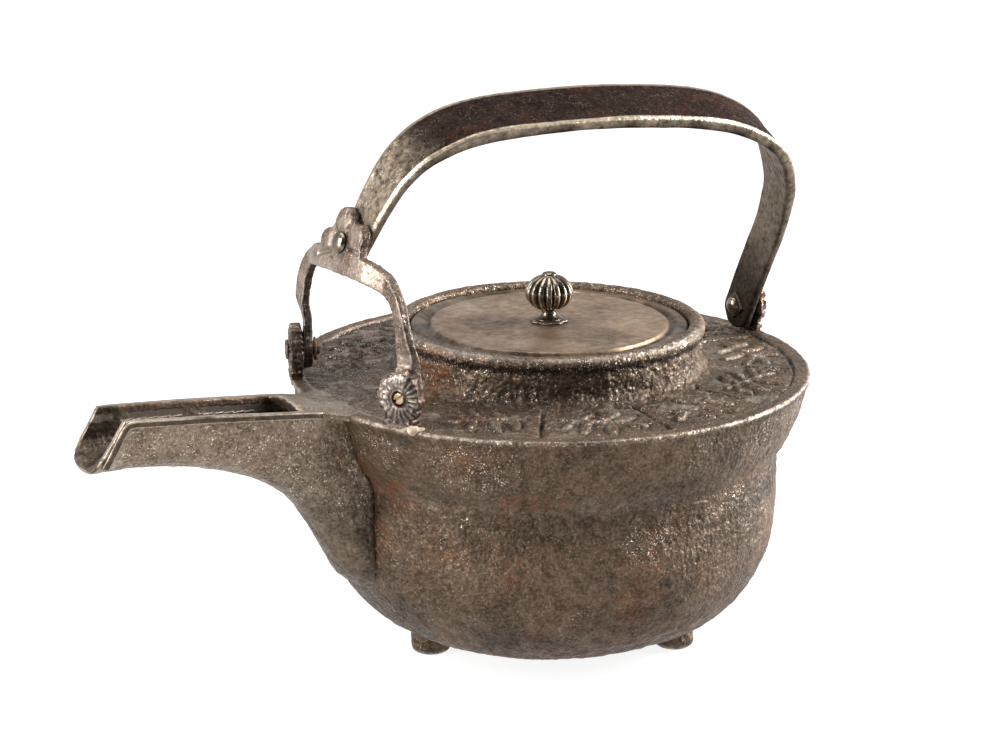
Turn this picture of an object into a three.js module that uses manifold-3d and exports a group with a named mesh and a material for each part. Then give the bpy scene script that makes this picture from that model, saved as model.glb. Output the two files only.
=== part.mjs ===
// Cast iron sake kettle with an open spout, a three-point strap handle and a dropped-in lid.
// Millimetres, +Z up. The spout points along -X and the floor under the feet is z = 0.
import * as THREE from 'three';
import { mergeVertices } from 'three/addons/utils/BufferGeometryUtils.js';
import Module from 'manifold-3d';

const wasm = await Module();
wasm.setup();

// ---------- driving dimensions ----------
const GAP = 0.3;                  // clearance between pieces that touch
const ROUND_STEPS = 64;           // facets around the body

const SHOULDER_Z = 90;            // top edge of the rim above the floor
const RIM_RADIUS = 85;
const BORDER_WIDTH = 4.6;         // raised flat border round the shoulder
const BORDER_HEIGHT = 0.9;
const WAIST_RADIUS = 75;
const WAIST_DROP = 26;            // waist below the rim
const BELLY_DROP = 40;            // where the lower body starts to round in
const BOTTOM_Z = 2.5;             // underside of the body, clear of the floor
const BOTTOM_FLAT_RADIUS = 25;
const BELLY_POWER = 2.4;          // superellipse exponent of the round bottom
const WALL = 3;

const NECK_RADIUS = 49.6;
const LIP_RADIUS = 50.6;
const LIP_TOP_Z = SHOULDER_Z + 15.7;
const SEAT_RADIUS = 45.8;         // recess that takes the lid
const SEAT_Z = SHOULDER_Z + 11.4;
const MOUTH_RADIUS = 41;

const LID_RADIUS = 45.3;
const LID_EDGE = 2.4;             // lid thickness at its edge
const LID_SKIRT_RADIUS = 40.4;
const LID_SKIRT_DEPTH = 4;
const LID_DISC_RADIUS = 38.6;     // raised middle of the lid
const LID_BOTTOM_Z = SEAT_Z + GAP;
const LID_TOP_Z = LID_BOTTOM_Z + LID_EDGE;

const KNOB_RADIUS = 7.8;
const KNOB_HALF_HEIGHT = 6.3;
const KNOB_CENTRE_Z = SHOULDER_Z + 23.5;
const KNOB_RIBS = 16;
const KNOB_RIB_DEPTH = 0.075;     // depth of the grooves, as a share of the radius
const SHANK_RADIUS = 2;

const SPOUT_REACH = 166;          // lip to the body's axis
const SPOUT_TOP_TIP = 156.5;      // where the rims of the channel end
const SPOUT_HALF_TIP = 9.8;
const SPOUT_HALF_ROOT = 12.2;
const SPOUT_WALL = 2.2;
const HOOD_X = -97;               // edge of the roofed stretch at the root
const SPOUT_ROOT_X = -62;

const LUG_ANGLE = 23.3;           // front lugs either side of the spout, degrees
const LUG_SPLAY = 26;             // direction of their faces, degrees
const LUG_MID_RADIUS = 82.7;
const REAR_LUG_MID_RADIUS = 83.6;
const LUG_WIDTH = 15;
const LUG_THICK = 4.2;
const REAR_LUG_THICK = 2.8;
const LUG_HOLE_Z = SHOULDER_Z + 9;
const LUG_TOP_RADIUS = 8.6;
const LUG_PETALS = 12;
const LUG_TENON = 1.8;
const LUG_TENON_WIDTH = 9.2;
const LUG_HOLE_RADIUS = 2.3;

const FOOT_CIRCLE = 46;
const FOOT_RADIUS = 6.6;

const REAR_PIN = new THREE.Vector3(76.4, 0, SHOULDER_Z + 9.4);
const FRONT_PIN = new THREE.Vector3(-77, 0, SHOULDER_Z + 50.5);
const STRAP_LEAN = 24;            // how far the loose strap has fallen towards -Y, degrees
const STRAP_THICK = 3.2;          // at both ends
const GRIP_THICK = 4.1;
const STRAP_HOLE_RADIUS = 2.7;    // loose on its rivets, so that the strap can rock
const YOKE_THICK = 3;
const YOKE_BEND_Z = SHOULDER_Z + 42;   // crossbar, above which the head leans back
const YOKE_HEAD_GAP = 0.5;        // between the strap's front end and the yoke's head
const RIVET_RADIUS = 2;

// ---------- materials ----------
const finish = (color, roughness, metalness) =>
  new THREE.MeshStandardMaterial({ color, roughness, metalness });
const IRON = finish(0x5b5249, 0.85, 0.55);
const LID_IRON = finish(0x6e6257, 0.7, 0.6);
const FORGED = finish(0x6f675e, 0.6, 0.75);
const PATINA = finish(0x4a3c33, 0.5, 0.8);
const BRONZE = finish(0x4c4239, 0.35, 0.9);
const BRASS = finish(0xa08050, 0.4, 0.9);

// ---------- solids ----------
function solid(geometry) {
  const bare = geometry.clone();
  bare.deleteAttribute('normal');
  bare.deleteAttribute('uv');
  const merged = mergeVertices(bare, 1e-4);
  const index = merged.index.array;
  const corners = [];
  for (let i = 0; i < index.length; i += 3) {
    const [a, b, c] = [index[i], index[i + 1], index[i + 2]];
    if (a !== b && b !== c && c !== a) corners.push(a, b, c);
  }
  return new wasm.Manifold(new wasm.Mesh({
    numProp: 3,
    vertProperties: Float32Array.from(merged.attributes.position.array),
    triVerts: Uint32Array.from(corners),
  }));
}

function geometryOf(body) {
  const mesh = body.getMesh();
  const geometry = new THREE.BufferGeometry();
  geometry.setAttribute('position', new THREE.BufferAttribute(Float32Array.from(mesh.vertProperties), 3));
  geometry.setIndex(new THREE.BufferAttribute(Uint32Array.from(mesh.triVerts), 1));
  geometry.computeVertexNormals();
  return geometry;
}

// A profile of [radius, z] pairs turned about the Z axis.
function turned(profile, steps = ROUND_STEPS) {
  const points = profile.map(([r, z]) => new THREE.Vector2(r, z));
  return new THREE.LatheGeometry(points, steps).rotateX(Math.PI / 2).rotateZ(Math.PI / steps);
}

// A closed cylinder from one point to another.
function rod(from, to, radius, steps = 20) {
  const length = from.distanceTo(to);
  const geometry = new THREE.CylinderGeometry(radius, radius, length, steps);
  const turn = new THREE.Quaternion().setFromUnitVectors(
    new THREE.Vector3(0, 1, 0), to.clone().sub(from).normalize());
  const middle = from.clone().add(to).multiplyScalar(0.5);
  return geometry.applyQuaternion(turn).translate(middle.x, middle.y, middle.z);
}

// A flat outline of [a, b] pairs, extruded by depth along its third axis.
function plate(outline, depth, steps = 1) {
  const shape = new THREE.Shape(outline.map(([a, b]) => new THREE.Vector2(a, b)));
  return new THREE.ExtrudeGeometry(shape, { depth, steps, bevelEnabled: false });
}

function reshape(geometry, move) {
  const position = geometry.attributes.position;
  const point = new THREE.Vector3();
  for (let i = 0; i < position.count; i += 1) {
    point.fromBufferAttribute(position, i);
    move(point);
    position.setXYZ(i, point.x, point.y, point.z);
  }
  return geometry;
}

const radians = (degrees) => degrees * Math.PI / 180;
const mix = (a, b, t) => a + (b - a) * t;

function smooth(points, count) {
  const curve = new THREE.SplineCurve(points.map(([a, b]) => new THREE.Vector2(a, b)));
  return curve.getPoints(count).map((p) => [p.x, p.y]);
}

// Reads b at a from a list of [a, b] pairs with rising a.
function along(pairs, a) {
  const last = pairs.length - 1;
  if (a <= pairs[0][0]) return pairs[0][1];
  if (a >= pairs[last][0]) return pairs[last][1];
  const i = pairs.findIndex((pair) => pair[0] >= a);
  const t = (a - pairs[i - 1][0]) / (pairs[i][0] - pairs[i - 1][0]);
  return mix(pairs[i - 1][1], pairs[i][1], t);
}

// ---------- kettle body ----------
// Outer wall from the underside to the waist and the rim, moved in by inset.
function outerWall(inset) {
  const beltZ = SHOULDER_Z - BELLY_DROP;
  const width = WAIST_RADIUS - BOTTOM_FLAT_RADIUS - inset;
  const height = beltZ - BOTTOM_Z - inset;
  const wall = [];
  const steps = 11;
  for (let i = 0; i <= steps; i += 1) {
    const angle = Math.PI / 2 * (1 - i / steps);
    const r = BOTTOM_FLAT_RADIUS + width * Math.pow(Math.cos(angle), 2 / BELLY_POWER);
    wall.push([r, beltZ - height * Math.pow(Math.sin(angle), 2 / BELLY_POWER)]);
  }
  const waistZ = SHOULDER_Z - WAIST_DROP;
  const band = new THREE.QuadraticBezierCurve(
    new THREE.Vector2(WAIST_RADIUS - inset, waistZ + 0.5),
    new THREE.Vector2(WAIST_RADIUS + 7.5 - inset, waistZ + 12),
    new THREE.Vector2(RIM_RADIUS - 1.2 - inset, SHOULDER_Z - 3 - inset * 0.6));
  band.getPoints(6).forEach((p) => wall.push([p.x, p.y]));
  return wall;
}

function bodyProfile() {
  const panel = SHOULDER_Z - BORDER_HEIGHT;
  const inner = outerWall(WALL).reverse();
  return [
    [0, BOTTOM_Z],
    ...outerWall(0),
    [RIM_RADIUS, SHOULDER_Z - 1.6],
    [RIM_RADIUS, SHOULDER_Z - 0.5],
    [RIM_RADIUS - 0.6, SHOULDER_Z],
    [RIM_RADIUS - BORDER_WIDTH, SHOULDER_Z],
    [RIM_RADIUS - BORDER_WIDTH - 0.8, panel],
    [NECK_RADIUS + 5, SHOULDER_Z + 0.4],
    [NECK_RADIUS + 1.6, SHOULDER_Z + 1.4],
    [NECK_RADIUS, SHOULDER_Z + 3.6],
    [NECK_RADIUS, LIP_TOP_Z - 4.2],
    [LIP_RADIUS, LIP_TOP_Z - 3],
    [LIP_RADIUS, LIP_TOP_Z - 1],
    [LIP_RADIUS - 1, LIP_TOP_Z],
    [SEAT_RADIUS + 1, LIP_TOP_Z],
    [SEAT_RADIUS, LIP_TOP_Z - 0.8],
    [SEAT_RADIUS, SEAT_Z],
    [MOUTH_RADIUS, SEAT_Z],
    [MOUTH_RADIUS, SEAT_Z - 2],
    [NECK_RADIUS - WALL, SEAT_Z - 4.5],
    [NECK_RADIUS - WALL, panel - WALL + 1],
    ...inner,
    [0, BOTTOM_Z + WALL],
  ];
}

// Rear end of the channel: the hole through the wall that feeds the spout.
const PORT_HALF = 7.2;
const PORT_BOTTOM = SHOULDER_Z - 13;
const PORT_TOP = SHOULDER_Z - 4.6;

function spoutPort() {
  return new THREE.BoxGeometry(30, 2 * PORT_HALF, PORT_TOP - PORT_BOTTOM)
    .translate(-77, 0, (PORT_TOP + PORT_BOTTOM) / 2);
}

// ---------- spout ----------
const SPOUT_UNDERSIDE = smooth([
  [-172, 81.5], [-160, 82], [-144, 80.8], [-128, 77.4], [-114, 72.6], [-102, 65.8],
  [-93, 56], [-85, 42], [-79, 32], [-60, 20]], 48);
const SPOUT_TOP = [[-172, 100.6], [-157, 99.2], [-128, 96.3], [-107, 93.8], [HOOD_X, 92.6],
  [-90, 91.5], [-85.4, 90.2], [-60, 89.8]];
const TUNNEL_TOP = [[-110, 92], [HOOD_X, 90.4], [-88, 86.5], [-80, 84.8], [-60, 84]];

// A block with a round keel between two stations, shaped by its top, keel and half width.
function keelBlock(fromX, toX, topAt, keelAt, halfAt, steps) {
  const block = new THREE.BoxGeometry(1, 2, 1, steps, 12, 1);
  return reshape(block, (p) => {
    const x = mix(fromX, toX, p.x + 0.5);
    const side = Math.sin(p.y * Math.PI / 2);
    const half = halfAt(x);
    const slope = (keelAt(x + 1) - keelAt(x - 1)) / 2;
    const top = topAt(x);
    const round = Math.min(0.85 * half * Math.hypot(1, slope), (top - keelAt(x)) * 0.7);
    const low = keelAt(x) + round * (1 - Math.sqrt(Math.max(0, 1 - side * side)));
    p.set(x, side * half, mix(low, top, p.z + 0.5));
  });
}

const spoutHalf = (x) => mix(SPOUT_HALF_TIP, SPOUT_HALF_ROOT, (x + SPOUT_REACH) / 80);
const spoutKeel = (x) => along(SPOUT_UNDERSIDE, x);
const channelHalf = (x) => spoutHalf(x) - SPOUT_WALL;
const channelKeel = (x) => Math.max(spoutKeel(x) + SPOUT_WALL + 0.4, mix(84.2, PORT_BOTTOM, (x + 165) / 85));

// Side view of the beak: the lower lip reaches further out than the rims.
function beakOutline() {
  const rimZ = along(SPOUT_TOP, -SPOUT_TOP_TIP);
  return [
    [-50, 0], [-50, 120], [-SPOUT_TOP_TIP + 12.5, rimZ + 20.5], [-SPOUT_TOP_TIP, rimZ],
    [-SPOUT_REACH + 1.6, 87.4], [-SPOUT_REACH + 0.3, 85], [-SPOUT_REACH, 83.4],
    [-SPOUT_REACH + 0.5, 82], [-SPOUT_REACH + 2.2, 81], [-SPOUT_REACH + 4, 78], [-SPOUT_REACH + 4, 0],
  ];
}

function spoutSolid(bodyOuter) {
  const outer = keelBlock(-172, SPOUT_ROOT_X, (x) => along(SPOUT_TOP, x), spoutKeel, spoutHalf, 30);
  const beak = plate(beakOutline(), 60).rotateX(Math.PI / 2).translate(0, 30, 0);
  const channel = keelBlock(-176, HOOD_X, () => 125, channelKeel, channelHalf, 14);
  const tunnel = keelBlock(HOOD_X - 0.5, SPOUT_ROOT_X, (x) => along(TUNNEL_TOP, x),
    channelKeel, (x) => mix(channelHalf(x), PORT_HALF, (x - HOOD_X) / 16), 10);
  return solid(outer).intersect(solid(beak))
    .subtract(solid(channel)).subtract(solid(tunnel)).subtract(bodyOuter);
}

// ---------- lugs ----------
// Petalled plate in the plane a (across) and b (up), with its pin hole at the origin.
function lugOutline() {
  const bottom = SHOULDER_Z - LUG_HOLE_Z;
  const half = LUG_TENON_WIDTH / 2;
  const flare = [5.4, bottom + 2.4];
  const outline = [[-half, bottom - LUG_TENON], [half, bottom - LUG_TENON], [half, bottom], flare];
  const steps = 60;
  const start = -50;
  for (let i = 0; i <= steps; i += 1) {
    const angle = radians(mix(start, 180 - start, i / steps));
    const petal = Math.abs(Math.sin(LUG_PETALS * (angle - radians(start)) / 2));
    const radius = LUG_TOP_RADIUS - 0.9 + 0.9 * petal;
    outline.push([radius * Math.cos(angle) * LUG_WIDTH / (2 * LUG_TOP_RADIUS), radius * Math.sin(angle)]);
  }
  outline.push([-flare[0], flare[1]], [-half, bottom]);
  return outline;
}

// Moves a shape drawn in (across, up, outward) round the lug's hole to its place on the rim.
function onLug(geometry, lug) {
  const x = -lug.radius * Math.cos(lug.at);
  const y = lug.radius * Math.sin(lug.at);
  const up = new THREE.Vector3(0, 0, 1);
  const outward = new THREE.Vector3(-Math.cos(lug.face), Math.sin(lug.face), 0);
  const basis = new THREE.Matrix4().makeBasis(up.clone().cross(outward), up, outward);
  return geometry.applyMatrix4(basis.setPosition(x, y, LUG_HOLE_Z));
}

// The clear hole for a pin through a lug and whatever stands against it.
function lugBore(lug) {
  const reach = 3 * LUG_THICK;
  const bore = rod(new THREE.Vector3(0, 0, -reach), new THREE.Vector3(0, 0, reach), LUG_HOLE_RADIUS);
  return solid(onLug(bore, lug));
}

function lugSolid(lug) {
  const blank = plate(lugOutline(), lug.thick).translate(0, 0, -lug.thick / 2);
  return solid(onLug(blank, lug)).subtract(lugBore(lug));
}

// The slot in the shoulder that the foot of a lug is set into.
function lugPocket(lug) {
  const height = 3 * LUG_TENON;
  const floor = SHOULDER_Z - LUG_HOLE_Z - LUG_TENON - GAP;
  const pocket = new THREE.BoxGeometry(LUG_TENON_WIDTH + 2 * GAP, height, lug.thick + 2 * GAP)
    .translate(0, floor + height / 2, 0);
  return solid(onLug(pocket, lug));
}

const frontLug = (name, side) => ({
  name,
  at: radians(side * LUG_ANGLE),
  face: radians(side * LUG_SPLAY),
  radius: LUG_MID_RADIUS,
  thick: LUG_THICK,
});
const LUGS = [
  frontLug('lug_front_left', 1),
  frontLug('lug_front_right', -1),
  { name: 'lug_rear', at: Math.PI, face: Math.PI, radius: REAR_LUG_MID_RADIUS, thick: REAR_LUG_THICK },
];
const [LEFT_LUG, RIGHT_LUG, REAR_LUG] = LUGS;

// ---------- line of the two strap rivets ----------
// Positions along it are counted from the rear rivet's head, and heights are square to it.
const AXIS = FRONT_PIN.clone().sub(REAR_PIN).normalize();
const UPRIGHT = new THREE.Vector3(-AXIS.z, 0, AXIS.x).negate();
const AXIS_TILT = Math.atan2(AXIS.z, -AXIS.x);
const onAxis = (distance) => REAR_PIN.clone().addScaledVector(AXIS, distance);

const STRAP_END = 155.8;          // front face of the strap
const HEAD_BACK = STRAP_END + YOKE_HEAD_GAP;
const HEAD_FRONT = HEAD_BACK + YOKE_THICK;

// ---------- yoke ----------
// The legs stand flat against the inner faces of the front lugs.
const LEG_INSET = LUG_THICK / 2 + GAP + YOKE_THICK / 2;
const LEG_X = -LUG_MID_RADIUS * Math.cos(radians(LUG_ANGLE)) + LEG_INSET * Math.cos(radians(LUG_SPLAY));
const LEG_Y = LUG_MID_RADIUS * Math.sin(radians(LUG_ANGLE)) - LEG_INSET * Math.sin(radians(LUG_SPLAY));
const LEG_HALF = 2.65;
const EYE_HALF = 4.1;              // the leg's end widens round its pin
const HEAD_MIDDLE = onAxis((HEAD_BACK + HEAD_FRONT) / 2);
const BEND_X = HEAD_MIDDLE.x - (HEAD_MIDDLE.z - YOKE_BEND_Z) * Math.tan(AXIS_TILT);

function arcPoints(a, b, radius, from, to, steps) {
  const points = [];
  for (let i = 0; i <= steps; i += 1) {
    const angle = radians(mix(from, to, i / steps));
    points.push([a + radius * Math.cos(angle), b + radius * Math.sin(angle)]);
  }
  return points;
}

const mirrored = (points) => points.map(([a, b]) => [-a, b]).reverse();

// The trefoil head, which sits a little askew on the crossbar.
const HEAD_ROLL = 12;
const HEAD_Z = SHOULDER_Z + 50.6;
const LOBE_RADIUS = 4;
const TOP_LOBE_RADIUS = 4.6;

function trefoil() {
  const side = arcPoints(8.1, HEAD_Z + 1.1, LOBE_RADIUS, -45, 112, 8);
  const top = arcPoints(0, HEAD_Z + 6, TOP_LOBE_RADIUS, 20, 160, 9);
  const [cos, sin] = [Math.cos(radians(HEAD_ROLL)), Math.sin(radians(HEAD_ROLL))];
  return [...side, ...top, ...mirrored(side)]
    .map(([a, b]) => [a * cos + (b - HEAD_Z) * sin, HEAD_Z + (b - HEAD_Z) * cos - a * sin]);
}

// The yoke seen along X: two bowed legs with leaf-shaped ends, a crossbar and the head.
function yokeOutline() {
  const low = LUG_HOLE_Z;
  const inside = smooth([
    [0, 131.4], [9, 131.5], [16, 130.9], [21.7, 128.8], [26, 124.9], [27.9, 119.8], [28.8, 113.5],
    [LEG_Y - LEG_HALF, 107]], 18);
  const foot = [
    [LEG_Y - EYE_HALF, low + 1.6], [LEG_Y - EYE_HALF, low - 1], [LEG_Y - 2.4, low - 4.4], [LEG_Y, low - 6.4],
    [LEG_Y + 2.4, low - 4.4], [LEG_Y + EYE_HALF, low - 1], [LEG_Y + EYE_HALF, low + 1.6]];
  const outside = smooth([
    [LEG_Y + LEG_HALF, 107], [34.4, 114], [33, 121], [30.6, 126.8], [25.4, 132.8], [18, 136.8],
    [12.4, 138]], 18);
  const half = [...inside, ...foot, ...outside];
  return [...half, ...trefoil(), ...mirrored(half.slice(1))];
}

// Depth of the bent sheet at (y, z): it leans back above the bend, and each leg turns below it.
function yokeSheet(p) {
  const drop = YOKE_BEND_Z - p.z;
  const turn = radians(LUG_SPLAY) * THREE.MathUtils.smoothstep(drop, 10, 25);
  const tilt = drop > 0 ? 0 : AXIS_TILT;
  const corner = 0.75 * THREE.MathUtils.smoothstep(Math.abs(p.y), 12, 26);
  const sweep = Math.max(THREE.MathUtils.smoothstep(drop, 0, 25), corner);
  const leg = mix(BEND_X, LEG_X, sweep);
  const middle = leg - Math.min(drop, 0) * Math.tan(tilt) + (Math.abs(p.y) - LEG_Y) * Math.tan(turn);
  p.x = middle + p.x * YOKE_THICK / Math.cos(Math.max(turn, tilt));
}

function yokeSolid() {
  const [width, low, high] = [80, 90, 154];
  const sheet = new THREE.BoxGeometry(1, width, high - low, 1, 32, 40).translate(0, 0, (high + low) / 2);
  const front = plate(yokeOutline(), 60).rotateX(Math.PI / 2).rotateZ(Math.PI / 2).translate(-110, 0, 0);
  return solid(reshape(sheet, yokeSheet)).intersect(solid(front))
    .subtract(lugBore(LEFT_LUG)).subtract(lugBore(RIGHT_LUG))
    .subtract(solid(rod(onAxis(STRAP_END - 4), onAxis(HEAD_FRONT + 4), RIVET_RADIUS + GAP)));
}

// ---------- strap handle ----------
const STRAP_OUTSIDE = [
  [-6.1, -6.8], [-4.5, 0], [-2.3, 10], [-0.3, 21], [3.2, 37.6], [9.3, 52], [24.2, 66.2], [49, 71.8],
  [82, 67.6], [112, 59.8], [135.2, 51.4], [148.2, 41.2], [154.1, 30], [155.8, 17], [STRAP_END, 0],
  [STRAP_END, -7]];
const STRAP_HALF_REAR = [[-6.8, 2.4], [-4, 6.4], [-2, 6.9], [45, 7.4], [66, 10.3], [72, 10.6]];
const STRAP_HALF_FRONT = [[-7, 3.2], [-4, 6], [0, 7], [20, 8.2], [42, 9.6], [58, 10.2], [72, 10.6]];
const STRAP_PIECES = 56;
const STRAP_MIDDLE = 75;          // where the two lists of half widths meet

// The fallen strap's own directions: along the rivets, away from them, and across its width.
const LEAN = new THREE.Quaternion().setFromAxisAngle(AXIS, -radians(STRAP_LEAN));
const STRAP_UP = UPRIGHT.clone().applyQuaternion(LEAN);
const STRAP_ACROSS = new THREE.Vector3(0, 1, 0).applyQuaternion(LEAN);
const STRAP_REARWARD = new THREE.Vector3(1, 0, 0).applyQuaternion(LEAN);

function strapOutline() {
  const curve = new THREE.SplineCurve(STRAP_OUTSIDE.map(([s, h]) => new THREE.Vector2(s, h)));
  const outside = [];
  const inside = [];
  for (let i = 0; i <= STRAP_PIECES; i += 1) {
    const at = curve.getPoint(i / STRAP_PIECES);
    const way = curve.getTangent(i / STRAP_PIECES);
    const thick = mix(STRAP_THICK, GRIP_THICK, THREE.MathUtils.smoothstep(at.y, 26, 54));
    outside.push([at.x, at.y]);
    inside.push([at.x + way.y * thick, at.y - way.x * thick]);
  }
  return [...outside, ...inside.reverse()];
}

// Middle of the rear rivet where it passes through the strap.
const REAR_HOLE = new THREE.Vector3(79.2, 0, LUG_HOLE_Z);

function strapSolid() {
  const blank = reshape(plate(strapOutline(), 2), (p) => {
    p.z = (p.z - 1) * along(p.x < STRAP_MIDDLE ? STRAP_HALF_REAR : STRAP_HALF_FRONT, p.y);
  });
  blank.applyMatrix4(new THREE.Matrix4().makeBasis(AXIS, STRAP_UP, STRAP_ACROSS).setPosition(REAR_PIN));
  const frontHole = rod(onAxis(STRAP_END - 8), onAxis(STRAP_END + 6), STRAP_HOLE_RADIUS);
  const reach = STRAP_REARWARD.clone().multiplyScalar(6);
  const rearHole = rod(REAR_HOLE.clone().sub(reach), REAR_HOLE.clone().add(reach), STRAP_HOLE_RADIUS);
  return solid(blank).subtract(solid(frontHole)).subtract(solid(rearHole));
}

// ---------- rivets, screw and pin ----------
// Sets a shape turned about Z along a line, with its z = 0 at the seat.
function seated(geometry, seat, direction) {
  const turn = new THREE.Quaternion().setFromUnitVectors(new THREE.Vector3(0, 0, 1), direction);
  return geometry.applyQuaternion(turn).translate(seat.x, seat.y, seat.z);
}

// Shank below z = 0 under a domed head; the tail may be spread to hold a washer.
function rivet(headRadius, headHeight, shank, tailRadius = RIVET_RADIUS) {
  const dome = arcPoints(0, 0, 1, 0, 90, 5).map(([a, b]) => [a * headRadius, b * headHeight]);
  dome[dome.length - 1][0] = 0;
  const low = -shank - 1;
  const tail = [[0, low], [tailRadius - 0.6, low], [tailRadius, low + 0.6], [tailRadius, -shank]];
  const stem = tailRadius > RIVET_RADIUS ? [[RIVET_RADIUS, -shank]] : [];
  return turned([...tail, ...stem, [RIVET_RADIUS, 0], ...dome], 20);
}

function ring(outer, inner, thickness, steps = 24) {
  return turned([[inner, 0], [outer, 0], [outer, thickness], [inner, thickness], [inner, 0]], steps);
}

const LEG_BACK = -LUG_THICK / 2 - GAP - YOKE_THICK;   // inner face of a leg, from the lug's middle
const WASHER_THICK = 0.9;
const REAR_WASHER = 7;

// Round head inside the leg, shank through leg and lug, and a slotted outer end.
function yokeScrew() {
  const head = 2;
  const end = LUG_THICK / 2 - 0.4;
  const base = LEG_BACK - GAP - head;
  const shank = turned([
    [0, base], [2.8, base], [3.6, base + 0.8], [3.6, base + head], [1.9, base + head],
    [1.9, end - 0.3], [1.6, end], [0, end]], 20);
  const slot = new THREE.BoxGeometry(5, 0.8, 2).rotateZ(radians(35)).translate(0, 0, end);
  return solid(onLug(shank, RIGHT_LUG)).subtract(solid(onLug(slot, RIGHT_LUG)));
}

function yokePin() {
  const seat = LUG_THICK / 2 + GAP;
  return onLug(rivet(3.2, 1, seat - LEG_BACK + GAP + WASHER_THICK).translate(0, 0, seat), LEFT_LUG);
}

function yokePinWasher() {
  const washer = ring(3.8, LUG_HOLE_RADIUS, WASHER_THICK);
  return onLug(washer.translate(0, 0, LEG_BACK - GAP - WASHER_THICK), LEFT_LUG);
}

function frontRivet() {
  const shank = HEAD_FRONT + GAP - (STRAP_END - STRAP_THICK - GAP - WASHER_THICK - GAP);
  return seated(rivet(3.5, 2, shank, 2.9), onAxis(HEAD_FRONT + GAP), AXIS);
}

function frontRivetWasher() {
  return seated(ring(4, STRAP_HOLE_RADIUS, WASHER_THICK),
    onAxis(STRAP_END - STRAP_THICK - GAP - WASHER_THICK), AXIS);
}

// The rear rivet's tail is hammered flush with the outer face of its lug.
const REAR_RIVET_SEAT = 75.9;

function rearRivet() {
  const seat = REAR_HOLE.clone().setX(REAR_RIVET_SEAT);
  const flush = REAR_LUG_MID_RADIUS + REAR_LUG_THICK / 2;
  return seated(rivet(2.9, 1.8, flush - seat.x - 1), seat, new THREE.Vector3(-1, 0, 0));
}

// A square washer set cornerwise; it lies against the strap and tips with it.
function rearRivetWasher() {
  const middle = -STRAP_THICK / 2 - GAP - WASHER_THICK / 2;
  const square = new THREE.BoxGeometry(REAR_WASHER, REAR_WASHER, WASHER_THICK).rotateZ(Math.PI / 4);
  const bore = rod(new THREE.Vector3(0, 0, -3), new THREE.Vector3(0, 0, 3), STRAP_HOLE_RADIUS);
  return solid(seated(square, REAR_HOLE.clone().addScaledVector(STRAP_REARWARD, middle), STRAP_REARWARD))
    .subtract(solid(seated(bore, REAR_HOLE, STRAP_REARWARD)));
}

// ---------- lid and knob ----------
const LID_HOLE_RADIUS = SHANK_RADIUS + GAP;
const LID_CROWN_Z = LID_TOP_Z + 1;
const FLOWER_THICK = 0.8;
const FLOWER_RADIUS = 6.3;

function lidProfile() {
  const [top, low] = [LID_TOP_Z, LID_BOTTOM_Z];
  const skirt = low - LID_SKIRT_DEPTH;
  return [
    [LID_HOLE_RADIUS, low], [LID_SKIRT_RADIUS - 2, low], [LID_SKIRT_RADIUS - 2, skirt],
    [LID_SKIRT_RADIUS, skirt], [LID_SKIRT_RADIUS, low], [LID_RADIUS, low], [LID_RADIUS, top - 0.4],
    [LID_RADIUS - 0.6, top], [LID_DISC_RADIUS + 4.2, top], [LID_DISC_RADIUS + 2.6, top - 0.9],
    [LID_DISC_RADIUS + 1, top - 0.9], [LID_DISC_RADIUS, top + 0.3], [LID_DISC_RADIUS - 2, top + 0.5],
    [16, LID_CROWN_Z - 0.1], [LID_HOLE_RADIUS, LID_CROWN_Z], [LID_HOLE_RADIUS, low],
  ];
}

// The ribbed ball stands on a waisted foot, and its shank is spread under the inner washer.
function knob() {
  const ball = arcPoints(0, 0, 1, -66, 74, 12)
    .map(([a, b]) => [a * KNOB_RADIUS, KNOB_CENTRE_Z + b * KNOB_HALF_HEIGHT]);
  const crown = KNOB_CENTRE_Z + KNOB_HALF_HEIGHT;
  const foot = LID_CROWN_Z + GAP + FLOWER_THICK + GAP;
  const tail = LID_BOTTOM_Z - GAP - WASHER_THICK - GAP;
  const profile = [
    [0, tail - 1], [2.4, tail - 1], [2.9, tail], [SHANK_RADIUS, tail], [SHANK_RADIUS, foot],
    [4.2, foot], [3.8, foot + 0.9], [2.5, foot + 1.6], ...ball,
    [1.6, crown + 0.3], [1.2, crown + 1.2], [0, crown + 1.5]];
  return reshape(turned(profile, KNOB_RIBS * 4), (p) => {
    const onBall = Math.abs(p.z - KNOB_CENTRE_Z) < KNOB_HALF_HEIGHT * 0.95 && Math.hypot(p.x, p.y) > 2.8;
    if (!onBall) return;
    const rib = 1 - KNOB_RIB_DEPTH * Math.sin(KNOB_RIBS * Math.atan2(p.y, p.x) / 2) ** 2;
    p.x *= rib;
    p.y *= rib;
  });
}

// ---------- feet ----------
function foot(degrees, bodyOuter) {
  const pad = turned([
    [0, 0], [FOOT_RADIUS - 1.6, 0], [FOOT_RADIUS - 0.4, 1.2], [FOOT_RADIUS, 3],
    [FOOT_RADIUS, 9], [0, 9]], 24);
  pad.translate(FOOT_CIRCLE * Math.cos(radians(degrees)), FOOT_CIRCLE * Math.sin(radians(degrees)), 0);
  return solid(pad).subtract(bodyOuter);
}

// ---------- assembly ----------
const kettle = new THREE.Group();

function add(name, shape, material) {
  const geometry = shape instanceof THREE.BufferGeometry ? shape : geometryOf(shape);
  const mesh = new THREE.Mesh(geometry, material.clone());
  mesh.name = name;
  kettle.add(mesh);
}

// The body's outside with clearance, for cutting the pieces that are joined on to it.
const bodyOuter = solid(turned([
  [0, BOTTOM_Z - GAP], ...outerWall(-GAP), [RIM_RADIUS + GAP, SHOULDER_Z - 1.6],
  [RIM_RADIUS + GAP, SHOULDER_Z + GAP], [0, SHOULDER_Z + GAP]]));

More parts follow.
